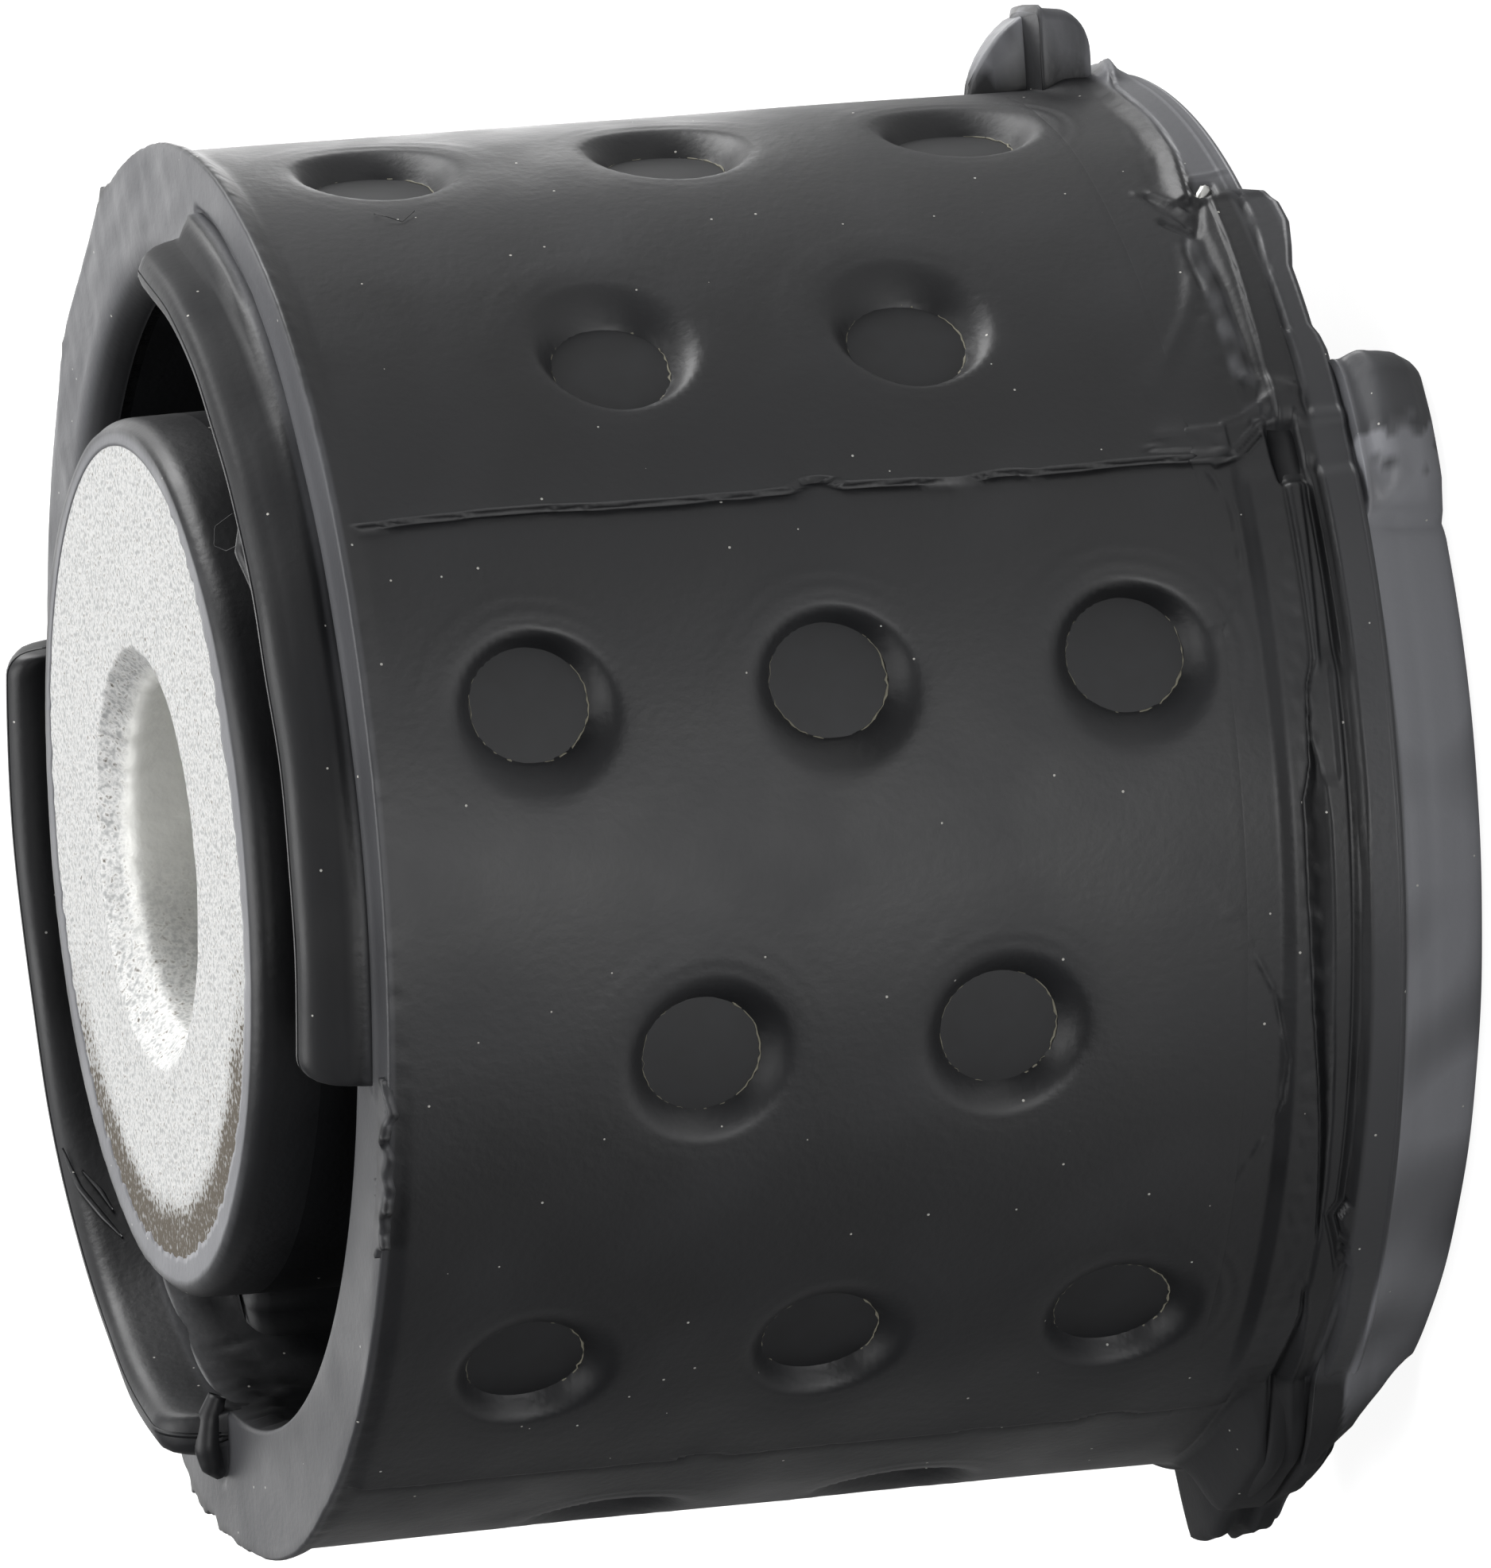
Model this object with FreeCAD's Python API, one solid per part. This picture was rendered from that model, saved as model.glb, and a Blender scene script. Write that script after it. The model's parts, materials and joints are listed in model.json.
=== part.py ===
"""Subframe bushing: a bonded rubber and metal mount that is pressed into a car's subframe.

It is three pieces bonded into one. A thick cast sleeve in the middle takes the bolt. A thin
flanged sleeve lies inside the rubber, near its outer surface. One rubber moulding holds both:
it coats the outer sleeve, lines it, and carries the inner sleeve on two arms, with a kidney
shaped void on each side of them. Rings of dimples go through the coat down to the outer sleeve,
where the mould's pins held it. Both ends carry curved bump stops.

Frame: +Z is the bushing's axis, from the flanged rear end at z = 0, on which it stands, to the
front end. +Y points to the keying lug and -Y to the ear. Angles are measured from +X towards +Y.
Millimetres and degrees.
"""
import FreeCAD
import Part
import math
import os

# Radial stack, from the bolt outwards
BORE_RADIUS = 7.65
CORE_WALL = 10.05             # wall of the inner sleeve
CORE_COAT = 1.2               # rubber round the inner sleeve
VOID_WIDTH = 5.9              # free travel beside the arms
LINING = 2.6                  # rubber inside the outer sleeve
SLEEVE_WALL = 1.5
BODY_COAT = 1.1               # rubber outside the outer sleeve, down to the dimples' floors

# Stack along the axis, from the rear end forwards
REAR_STOP_HEIGHT = 4.5
RIM_LENGTH = 2.5
BODY_LENGTH = 40.5
FRONT_STOP_HEIGHT = 2.8

# Edges of the body and the rim
FRONT_EDGE_CHAMFER = 0.4
RIM_RISE = 0.4                # how far the rim stands out from the body
RIM_SLOPE_LENGTH = 0.4        # from the rim down to the body
RIM_REAR_CHAMFER = 0.3

# Edges of the inner sleeve and of its coat
BORE_CHAMFER = 1.35
CORE_EDGE_CHAMFER = 0.25
CORE_COAT_SETBACK = 0.4       # the coat ends short of the sleeve's faces
CORE_COAT_EDGE = 0.8          # bevel at both ends of the coat

# Outer sleeve: how much rubber covers its ends
SLEEVE_FRONT_COVER = 2.0
FLANGE_THICKNESS = 1.4
FLANGE_REAR_COVER = 1.1
FLANGE_RIM_COVER = 0.6

# Two arms carry the inner sleeve
ARM_ANGLE = 26.4
ARM_SPAN = 60.0               # where the arm is narrowest
ARM_FRONT_RECESS = 3.0        # below the ring's front face
ARM_REAR_RECESS = 2.5         # above the rim's rear face
ARM_FLARE_KEPT = 0.8          # share of each flank's flare, before it gets too thin

# Bump stops on the front face
FRONT_STOP_ANGLE = 26.4
FRONT_STOP_SPAN = 94.6
FRONT_STOP_WIDTH = 2.4
STOP_EDGE = 0.8               # bevel round each stop's face

# Bump stops on the rear face, with a low step beyond one end and a ramp at the other
REAR_STOP_TOP_ANGLE = 35.2
REAR_STOP_LOW_ANGLE = -61.0
REAR_STOP_INSET = 0.7         # inside the body's surface
REAR_STEP_HEIGHT = 1.1
REAR_STEP_ANGLE = 53.0
RAMP_ANGLE = 5.0

# Keying lug on +Y: a block, and a quarter round in front of it
LUG_RISE = 3.5                # above the body's surface
LUG_ANGLE = 90.0
LUG_BLOCK_SPAN = 20.0
LUG_BLOCK_LENGTH = 2.4
LUG_BLOCK_SETBACK = 1.4       # in front of the rim's rear face
LUG_NOSE_SPAN = 13.0
LUG_NOSE_LENGTH = 3.3
LUG_EDGE = 0.6

# Ear on -Y: a broad low part, and a tip as high as the lug
EAR_RISE = 2.4
EAR_START_ANGLE = -62.0
EAR_TIP_ANGLE = -81.0
EAR_END_ANGLE = -89.0
EAR_OVERHANG = 0.9            # behind the rim's rear face
EAR_LEAD = 0.2                # in front of the rim

# Dimples: rows along the body, with three and two dimples in turn
DIMPLE_ROWS = 12
DIMPLE_FIRST_ANGLE = 10.2
DIMPLE_MIDDLE = 20.0          # behind the front face
DIMPLE_PITCH = 12.8
DIMPLE_FLOOR_RADIUS = 2.5
DIMPLE_MOUTH_RADIUS = 3.3
DIMPLE_SIDES = 12             # flats round each dimple

# A nick in the rim, down to the outer sleeve's flange
NICK_ANGLE = 52.0
NICK_SPAN = 2.4
NICK_LENGTH = 0.9

# How far a cutting shape runs past what it cuts, and a root runs into what carries it
OVERRUN = 0.5

CORE_RADIUS = BORE_RADIUS + CORE_WALL
COAT_RADIUS = CORE_RADIUS + CORE_COAT
CAVITY_RADIUS = COAT_RADIUS + VOID_WIDTH
SLEEVE_BORE_RADIUS = CAVITY_RADIUS + LINING
SLEEVE_RADIUS = SLEEVE_BORE_RADIUS + SLEEVE_WALL
BODY_RADIUS = SLEEVE_RADIUS + BODY_COAT
RIM_RADIUS = BODY_RADIUS + RIM_RISE
FLANGE_RADIUS = RIM_RADIUS - FLANGE_RIM_COVER
REAR_STOP_RADIUS = BODY_RADIUS - REAR_STOP_INSET
LUG_RADIUS = BODY_RADIUS + LUG_RISE
EAR_RADIUS = BODY_RADIUS + EAR_RISE
RIM_REAR_Z = REAR_STOP_HEIGHT
RIM_FRONT_Z = RIM_REAR_Z + RIM_LENGTH
FRONT_FACE_Z = RIM_FRONT_Z + BODY_LENGTH
CORE_LENGTH = FRONT_FACE_Z + FRONT_STOP_HEIGHT
SLEEVE_FRONT_Z = FRONT_FACE_Z - SLEEVE_FRONT_COVER
FLANGE_REAR_Z = RIM_REAR_Z + FLANGE_REAR_COVER
FLANGE_FRONT_Z = FLANGE_REAR_Z + FLANGE_THICKNESS
REAR_STEP_Z = RIM_REAR_Z - REAR_STEP_HEIGHT
LUG_REAR_Z = RIM_REAR_Z + LUG_BLOCK_SETBACK
EAR_REAR_Z = RIM_REAR_Z - EAR_OVERHANG
EAR_FRONT_Z = RIM_FRONT_Z + EAR_LEAD
DIMPLE_MIDDLE_Z = FRONT_FACE_Z - DIMPLE_MIDDLE

AXIS_POINT = FreeCAD.Vector(0, 0, 0)
AXIS = FreeCAD.Vector(0, 0, 1)


def flat_face(points):
    """A flat face with these corners."""
    return Part.Face(Part.makePolygon(points + points[:1]))


def revolve(outline, start=0.0, span=360.0):
    """Turn an outline of (radius, z) points about the axis, from one angle through a span."""
    points = [FreeCAD.Vector(radius, 0, z) for radius, z in outline]
    face = flat_face(points)
    face.rotate(AXIS_POINT, AXIS, start)
    return face.revolve(AXIS_POINT, AXIS, span)


def arc_block(inner, outer, bottom, top, start, span):
    """A curved block between two radii, two heights and two angles."""
    outline = [(inner, bottom), (outer, bottom), (outer, top), (inner, top)]
    return revolve(outline, start, span)


def turned(shape, angle):
    """A copy of a shape, turned about the axis."""
    copy = shape.copy()
    copy.rotate(AXIS_POINT, AXIS, angle)
    return copy


def pair(shape):
    """A shape and its twin on the other side of the axis."""
    return [shape, turned(shape, 180.0)]


def eased_ends(block, end_z, size):
    """Bevel the edges of a block's end face, and the corner edges that lead up to them."""
    on_end = [edge for edge in block.Edges
              if all(abs(vertex.Z - end_z) < 1e-6 for vertex in edge.Vertexes)]
    upright = [edge for edge in block.Edges
               if abs(edge.Vertexes[0].Z - edge.Vertexes[-1].Z) > size]
    return block.makeChamfer(size, on_end + upright)


def inner_sleeve():
    """Thick cast sleeve for the bolt, chamfered at both mouths of its bore."""
    mouth = BORE_RADIUS + BORE_CHAMFER
    edge = CORE_RADIUS - CORE_EDGE_CHAMFER
    outline = [
        (mouth, 0), (edge, 0), (CORE_RADIUS, CORE_EDGE_CHAMFER),
        (CORE_RADIUS, CORE_LENGTH - CORE_EDGE_CHAMFER), (edge, CORE_LENGTH),
        (mouth, CORE_LENGTH), (BORE_RADIUS, CORE_LENGTH - BORE_CHAMFER),
        (BORE_RADIUS, BORE_CHAMFER),
    ]
    return revolve(outline)


def outer_sleeve():
    """Thin drawn sleeve with a flange turned out at its rear end."""
    outline = [
        (SLEEVE_BORE_RADIUS, FLANGE_REAR_Z), (FLANGE_RADIUS, FLANGE_REAR_Z),
        (FLANGE_RADIUS, FLANGE_FRONT_Z), (SLEEVE_RADIUS, FLANGE_FRONT_Z),
        (SLEEVE_RADIUS, SLEEVE_FRONT_Z), (SLEEVE_BORE_RADIUS, SLEEVE_FRONT_Z),
    ]
    return revolve(outline)


def rubber_shell():
    """Coat and lining of the outer sleeve, with the rim at the rear, as one turned shape."""
    outline = [
        (CAVITY_RADIUS, RIM_REAR_Z),
        (RIM_RADIUS - RIM_REAR_CHAMFER, RIM_REAR_Z),
        (RIM_RADIUS, RIM_REAR_Z + RIM_REAR_CHAMFER),
        (RIM_RADIUS, RIM_FRONT_Z),
        (BODY_RADIUS, RIM_FRONT_Z + RIM_SLOPE_LENGTH),
        (BODY_RADIUS, FRONT_FACE_Z - FRONT_EDGE_CHAMFER),
        (BODY_RADIUS - FRONT_EDGE_CHAMFER, FRONT_FACE_Z),
        (CAVITY_RADIUS, FRONT_FACE_Z),
    ]
    return revolve(outline)


def core_coat():
    """Rubber tube round the inner sleeve, bevelled at both ends."""
    rear = CORE_COAT_SETBACK
    front = CORE_LENGTH - CORE_COAT_SETBACK
    bevel = COAT_RADIUS - CORE_COAT_EDGE
    outline = [
        (CORE_RADIUS, rear), (bevel, rear), (COAT_RADIUS, rear + CORE_COAT_EDGE),
        (COAT_RADIUS, front - CORE_COAT_EDGE), (bevel, front), (CORE_RADIUS, front),
    ]
    return revolve(outline)


def arm():
    """One arm, from the inner sleeve's coat out to the lining, with hollow flanks.

    Its flanks are the round ends of the two kidney shaped voids beside it.
    """
    middle = (COAT_RADIUS + CAVITY_RADIUS) / 2
    void_end = VOID_WIDTH / 2
    flare = math.degrees(math.asin(void_end / middle))
    span = ARM_SPAN + 2 * flare * ARM_FLARE_KEPT
    rear = RIM_REAR_Z + ARM_REAR_RECESS
    front = FRONT_FACE_Z - ARM_FRONT_RECESS
    sunk = CORE_COAT / 2
    solid = arc_block(COAT_RADIUS - sunk, CAVITY_RADIUS + sunk, rear, front,
                      ARM_ANGLE - span / 2, span)
    foot = FreeCAD.Vector(middle, 0, rear - OVERRUN)
    scoop = Part.makeCylinder(void_end, front - rear + 2 * OVERRUN, foot)
    reach = ARM_SPAN / 2 + flare
    return solid.cut([turned(scoop, ARM_ANGLE - reach), turned(scoop, ARM_ANGLE + reach)])


def front_stop():
    """Curved bump stop that stands on the inner edge of the front face."""
    start = FRONT_STOP_ANGLE - FRONT_STOP_SPAN / 2
    outer = CAVITY_RADIUS + FRONT_STOP_WIDTH
    bottom = FRONT_FACE_Z - OVERRUN
    block = arc_block(CAVITY_RADIUS, outer, bottom, CORE_LENGTH, start, FRONT_STOP_SPAN)
    return eased_ends(block, CORE_LENGTH, STOP_EDGE)


def ramp_cutter():
    """Wedge that slopes the low end of a rear bump stop down to its step."""
    run = math.tan(math.radians(RAMP_ANGLE)) * REAR_STOP_RADIUS
    points = [
        FreeCAD.Vector(0, 0, 0), FreeCAD.Vector(0, -run, REAR_STEP_Z),
        FreeCAD.Vector(0, -2 * run, REAR_STEP_Z), FreeCAD.Vector(0, -2 * run, -OVERRUN),
        FreeCAD.Vector(0, 0, -OVERRUN),
    ]
    wedge = flat_face(points).extrude(FreeCAD.Vector(REAR_STOP_RADIUS + 2 * OVERRUN, 0, 0))
    return turned(wedge, REAR_STOP_LOW_ANGLE)


def rear_stop():
    """Curved bump stop on the rear face: a low step, and the stop proper with its ramp."""
    ramp_end = REAR_STOP_LOW_ANGLE - RAMP_ANGLE
    step_span = REAR_STEP_ANGLE - ramp_end
    step_top = RIM_REAR_Z + OVERRUN
    step_radius = RIM_RADIUS - RIM_REAR_CHAMFER
    step = arc_block(CAVITY_RADIUS, step_radius, REAR_STEP_Z, step_top, ramp_end, step_span)
    stop_span = REAR_STOP_TOP_ANGLE - ramp_end
    stop = arc_block(CAVITY_RADIUS, REAR_STOP_RADIUS, 0, step_top, ramp_end, stop_span)
    return step.fuse(eased_ends(stop, 0, STOP_EDGE).cut(ramp_cutter()))


def keying_lug():
    """Lug on +Y: a block with bevelled corners, and a narrower quarter round before it."""
    root = BODY_RADIUS - OVERRUN
    block_front = LUG_REAR_Z + LUG_BLOCK_LENGTH
    start = LUG_ANGLE - LUG_BLOCK_SPAN / 2
    block = arc_block(root, LUG_RADIUS, LUG_REAR_Z, block_front, start, LUG_BLOCK_SPAN)
    block = eased_ends(block, LUG_REAR_Z, LUG_EDGE)
    nose_start = LUG_ANGLE - LUG_NOSE_SPAN / 2
    nose_front = block_front + LUG_NOSE_LENGTH
    nose = arc_block(root, LUG_RADIUS, block_front, nose_front, nose_start, LUG_NOSE_SPAN)
    crest = [edge for edge in nose.Edges
             if all(abs(vertex.Z - nose_front) < 1e-6
                    and math.hypot(vertex.X, vertex.Y) > LUG_RADIUS - 1e-6
                    for vertex in edge.Vertexes)]
    nose = nose.makeFillet(min(LUG_NOSE_LENGTH, LUG_RADIUS - root) - LUG_EDGE, crest)
    return block.fuse(nose)


def ear():
    """Ear on -Y, which widens the rim in two steps."""
    root = BODY_RADIUS - OVERRUN
    broad_span = EAR_START_ANGLE - EAR_END_ANGLE
    tip_span = EAR_TIP_ANGLE - EAR_END_ANGLE
    broad = arc_block(root, EAR_RADIUS, EAR_REAR_Z, EAR_FRONT_Z, EAR_END_ANGLE, broad_span)
    tip = arc_block(root, LUG_RADIUS, EAR_REAR_Z, EAR_FRONT_Z, EAR_END_ANGLE, tip_span)
    return broad.fuse(tip)


def corners(radius, distance, z):
    """Corners of a dimple's outline, square to +X at a distance from the axis."""
    turns = [2 * math.pi * number / DIMPLE_SIDES for number in range(DIMPLE_SIDES)]
    return [FreeCAD.Vector(distance, radius * math.cos(turn), z + radius * math.sin(turn))
            for turn in turns]


def dimple(angle, z):
    """Tapered pin hole through the coat, down to the outer sleeve, as a many sided pin."""
    taper = (DIMPLE_MOUTH_RADIUS - DIMPLE_FLOOR_RADIUS) / BODY_COAT
    foot = corners(DIMPLE_FLOOR_RADIUS - taper * OVERRUN, SLEEVE_RADIUS - OVERRUN, z)
    head = corners(DIMPLE_MOUTH_RADIUS + taper * OVERRUN, BODY_RADIUS + OVERRUN, z)
    sides = [flat_face([foot[number - 1], foot[number], head[number], head[number - 1]])
             for number in range(DIMPLE_SIDES)]
    pin = Part.Solid(Part.Shell(sides + [flat_face(foot), flat_face(head)]))
    return turned(pin, angle)


def dimples():
    """All dimples: rows of three and of two in turn, set half a pitch apart."""
    pins = []
    for row in range(DIMPLE_ROWS):
        angle = DIMPLE_FIRST_ANGLE + row * 360.0 / DIMPLE_ROWS
        steps = (-1.0, 0.0, 1.0) if row % 2 == 0 else (-0.5, 0.5)
        for step in steps:
            pins.append(dimple(angle, DIMPLE_MIDDLE_Z + step * DIMPLE_PITCH))
    return pins


def rim_nick():
    """Cut in the rim that lays the outer sleeve's flange bare."""
    top = FLANGE_FRONT_Z
    start = NICK_ANGLE - NICK_SPAN / 2
    return arc_block(FLANGE_RADIUS, RIM_RADIUS + OVERRUN, top - NICK_LENGTH, top, start, NICK_SPAN)


def rubber_body(metal):
    """The whole moulding, with room for the metal pieces bonded into it."""
    added = [core_coat()] + pair(arm()) + pair(front_stop()) + pair(rear_stop())
    added += [keying_lug(), ear()]
    solid = rubber_shell().fuse(added).removeSplitter()
    return solid.cut(metal + dimples() + [rim_nick()])


def main():
    os.makedirs("parts", exist_ok=True)
    core = inner_sleeve()
    sleeve = outer_sleeve()
    pieces = {
        "inner_sleeve": core,
        "outer_sleeve": sleeve,
        "rubber_body": rubber_body([core, sleeve]),
    }
    for name, shape in pieces.items():
        shape.exportStep("parts/" + name + ".step")
        box = shape.BoundBox
        print(name, len(shape.Solids), "solid", round(shape.Volume), "mm3, valid", shape.isValid(),
              "box", round(box.XLength, 2), round(box.YLength, 2), round(box.ZLength, 2))


main()
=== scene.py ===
# %% [markdown]
# # A subframe bushing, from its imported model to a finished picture
# A subframe bushing is a rubber spring between a car's body and its axle carrier. A thick cast
# sleeve takes the bolt, a thin steel sleeve is pressed into the carrier, and one rubber moulding
# joins them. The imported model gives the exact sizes. This lesson gives it its real surface.

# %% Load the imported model
import bpy
import json
import math
import numpy as np
from mathutils import Matrix, Vector

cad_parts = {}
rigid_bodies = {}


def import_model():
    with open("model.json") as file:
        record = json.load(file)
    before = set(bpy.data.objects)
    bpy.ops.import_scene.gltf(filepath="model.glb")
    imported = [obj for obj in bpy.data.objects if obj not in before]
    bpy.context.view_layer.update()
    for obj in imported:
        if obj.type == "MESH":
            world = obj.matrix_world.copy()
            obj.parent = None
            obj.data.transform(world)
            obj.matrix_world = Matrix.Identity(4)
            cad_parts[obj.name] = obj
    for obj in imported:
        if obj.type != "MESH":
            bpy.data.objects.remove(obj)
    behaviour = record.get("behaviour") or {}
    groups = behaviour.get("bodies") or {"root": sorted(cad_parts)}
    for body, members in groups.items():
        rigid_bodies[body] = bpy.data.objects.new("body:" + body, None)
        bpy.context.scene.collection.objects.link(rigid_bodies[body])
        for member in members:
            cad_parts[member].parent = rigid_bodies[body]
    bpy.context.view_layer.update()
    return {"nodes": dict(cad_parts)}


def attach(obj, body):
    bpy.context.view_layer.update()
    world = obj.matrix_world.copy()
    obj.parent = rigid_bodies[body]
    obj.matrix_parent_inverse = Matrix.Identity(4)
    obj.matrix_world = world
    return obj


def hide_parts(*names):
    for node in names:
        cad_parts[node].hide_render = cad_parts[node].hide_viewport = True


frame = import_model()
print("packed nodes:", sorted(frame["nodes"]))

# %% [markdown]
# ## Sizes
# Every size is a real one in millimetres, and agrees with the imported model: +Z is the axis, the
# rear end stands at z = 0, and angles go from +X towards +Y. Blender works in metres, so a mesh
# is scaled once, when it is made.

# %% Sizes of the bushing
MM = 0.001
BORE, CHAMFER, CORE = 7.65, 1.35, 17.7
COAT, CAVITY = 18.9, 24.8
SLEEVE_BORE, SLEEVE, BODY = 27.4, 28.9, 30.0
FLANGE, REAR_STOP = 29.8, 29.3
FACE, LENGTH = 47.5, 50.3
PARTING = 26.0
print("overall length", LENGTH, "mm, across the body", 2 * BODY, "mm")

# %% [markdown]
# ## The camera
# The photograph was taken with a long lens, from the front and one side. Its place was found by
# fitting the body's edges, the front ring and the dimples to the sizes above. Three vectors say
# how the camera is turned, which is plainer here than three angles, because it is tipped so far
# that the bushing's axis lies across the picture.

# %% Place the camera
PHOTO_HEIGHT = 1973
FOCAL_PIXELS = 17694
SENSOR = 36.0
CAMERA_PLACE = Vector((0.586354, 0.003929, 0.184812))
right = Vector((0.2646, -0.0848, -0.9606)).normalized()
up = Vector((0.0178, 0.9964, -0.0830))
up = (up - up.project(right)).normalized()
turn = Matrix((right, up, right.cross(up))).transposed()
camera_data = bpy.data.cameras.new("photo_camera")
camera_data.sensor_fit = "VERTICAL"
camera_data.sensor_height = SENSOR
camera_data.lens = FOCAL_PIXELS * SENSOR / PHOTO_HEIGHT
camera = bpy.data.objects.new("photo_camera", camera_data)
camera.matrix_world = Matrix.Translation(CAMERA_PLACE) @ turn.to_4x4()
bpy.context.scene.collection.objects.link(camera)
bpy.context.scene.camera = camera
print("lens", round(camera_data.lens, 1), "mm")

# %% [markdown]
# ## Helpers for meshes
# The whole bushing is turned or swept round one axis, so nearly every piece can be a grid: one
# direction goes round the axis, the other follows a closed outline. A grid is easy to displace,
# because each point knows its angle and its height. The alternative, sculpting, would be quicker
# by hand but can't be repeated exactly.

# %% Make a mesh from a grid of points
def add_piece(name, points, faces, smooth=True):
    """A mesh piece from points in millimetres."""
    mesh = bpy.data.meshes.new(name)
    mesh.from_pydata((np.asarray(points).reshape(-1, 3) * MM).tolist(), [], faces)
    mesh.update()
    if smooth:
        mesh.shade_smooth()
    piece = bpy.data.objects.new(name, mesh)
    bpy.context.scene.collection.objects.link(piece)
    print(name, len(mesh.polygons), "faces")
    return piece


def grid_faces(rows, columns, closed_rows):
    """Four sided faces of a grid whose columns close on themselves."""
    last = rows if closed_rows else rows - 1
    a = np.arange(last)[:, None]
    b = np.arange(columns)[None, :]
    a2, b2 = (a + 1) % rows, (b + 1) % columns
    corners = [a * columns + b, a2 * columns + b, a2 * columns + b2, a * columns + b2]
    return np.stack(corners, -1).reshape(-1, 4).tolist()


def on_axis(angle, radius, z):
    """Points at these angles, radii and heights."""
    angle, radius, z = np.broadcast_arrays(np.radians(angle), radius, z)
    return np.stack([radius * np.cos(angle), radius * np.sin(angle), z], -1)


def turned_ring(name, angles, radius, z):
    """A closed ring: outline points across, angles down, both closed on themselves."""
    points = on_axis(angles[:, None], radius, z)
    return add_piece(name, points, grid_faces(points.shape[0], points.shape[1], True))


def swept_bar(name, angles, radius, z):
    """A bar along an arc, with a fan of faces over each end."""
    points = on_axis(angles[:, None], radius, z)
    rows, columns = points.shape[:2]
    faces = grid_faces(rows, columns, False)
    ends = np.stack([points[0].mean(0), points[-1].mean(0)])
    first, last = rows * columns, rows * columns + 1
    for b in range(columns):
        b2 = (b + 1) % columns
        faces.append([first, b, b2])
        faces.append([last, (rows - 1) * columns + b2, (rows - 1) * columns + b])
    return add_piece(name, np.concatenate([points.reshape(-1, 3), ends]), faces)


# %% [markdown]
# Rubber never comes out of a mould perfectly even. A sum of slow waves in random directions gives
# a smooth unevenness of any size, the same in every run because the directions are seeded. Four
# more functions say where something starts and stops.

# %% Smooth unevenness
def ripple(points, size, seed, waves=18):
    """Smooth noise of about one unit, with this typical size in millimetres."""
    dice = np.random.default_rng(seed)
    ways = dice.normal(size=(waves, 3))
    ways /= np.linalg.norm(ways, axis=1)[:, None]
    ways *= 2 * np.pi / (size * dice.uniform(0.7, 1.8, size=(waves, 1)))
    phase = dice.uniform(0, 2 * np.pi, size=waves)
    total = np.zeros(points.shape[:-1])
    for way, start in zip(ways, phase):
        total += np.cos(points @ way + start)
    return total / math.sqrt(waves / 2)


def ease(value, low, high):
    """0 below low, 1 above high, and a smooth step between them."""
    t = np.clip((value - low) / (high - low), 0, 1)
    return t * t * (3 - 2 * t)


def fall(value, low, high):
    """The reverse of ease: 1 below low, 0 above high."""
    return 1 - ease(value, low, high)


def window(value, low, high, soft=0.1):
    """1 between low and high, with soft edges."""
    return ease(value, low - soft, low + soft) * fall(value, high - soft, high + soft)


def bump(value, middle, width):
    """A smooth hump of height 1."""
    return np.exp(-((value - middle) / width) ** 2)


def apart(angle, other):
    """Signed difference of two angles, from -180 to 180."""
    return (np.asarray(angle) - other + 180) % 360 - 180


def line(angle, table):
    """A value that changes round the axis, from a list of (angle, value) points."""
    table = np.array(sorted(table), float)
    return np.interp(angle, table[:, 0], table[:, 1])


# %% [markdown]
# Two small tools draw everything that is long and thin: a stroke raises or cuts a line in a
# surface, and a tube is a separate bead of rubber, such as a fold or a hair.

# %% Strokes and tubes
FAR_AWAY = 99.0


def stroke(angle, z, path, width, height):
    """A ridge along a path of (angle, z) points; a negative height cuts a groove."""
    x, y = np.broadcast_arrays(np.radians(angle) * BODY, z)
    points = np.array(path, float) * [math.radians(BODY), 1]
    nearest = np.full(x.shape, FAR_AWAY)
    for (ax, ay), (bx, by) in zip(points[:-1], points[1:]):
        dx, dy = bx - ax, by - ay
        t = np.clip(((x - ax) * dx + (y - ay) * dy) / (dx * dx + dy * dy), 0, 1)
        nearest = np.minimum(nearest, np.hypot(x - ax - t * dx, y - ay - t * dy))
    return height * np.exp(-(nearest / width) ** 2)


def strokes(angle, z, table):
    """Every stroke of a table of (path, width, height), added up."""
    return sum(stroke(angle, z, *row) for row in table)


def tube(name, path, radii, flat=1.0, sides=10):
    """A closed tube through (radius, angle, z) points, flattened along the axis if asked."""
    path = np.array(path, float)
    count = max(len(path) * 6, 12)
    t = np.linspace(0, len(path) - 1, count)
    r, turn, z = (np.interp(t, np.arange(len(path)), path[:, k]) for k in range(3))
    centre = on_axis(turn, r, z)
    thick = np.interp(t, np.linspace(0, len(path) - 1, len(radii)), radii)
    ahead = np.gradient(centre, axis=0)
    ahead /= np.linalg.norm(ahead, axis=1)[:, None]
    side = np.cross(ahead, [0.0, 0.0, 1.0])
    side /= np.linalg.norm(side, axis=1)[:, None] + 1e-9
    top = np.cross(side, ahead)
    turns = np.linspace(0, 2 * np.pi, sides, endpoint=False)[None, :, None]
    ring = side[:, None] * np.cos(turns) + top[:, None] * np.sin(turns) * flat
    points = centre[:, None] + ring * thick[:, None, None]
    faces = grid_faces(count, sides, False)
    faces.append(list(range(sides))[::-1])
    faces.append([(count - 1) * sides + k for k in range(sides)])
    return add_piece(name, points, faces)


# %% [markdown]
# ## The dimples
# While the rubber is injected, pins hold the steel sleeve in the middle of the mould. Each pin
# leaves a tapered hole down to the sleeve. The mould opens in four quarters, so a pin near the
# edge of its quarter is slanted, and its hole is drawn out towards the quarter's middle. That is
# why the rows look different: round, drawn down, round and small, drawn up.

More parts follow.
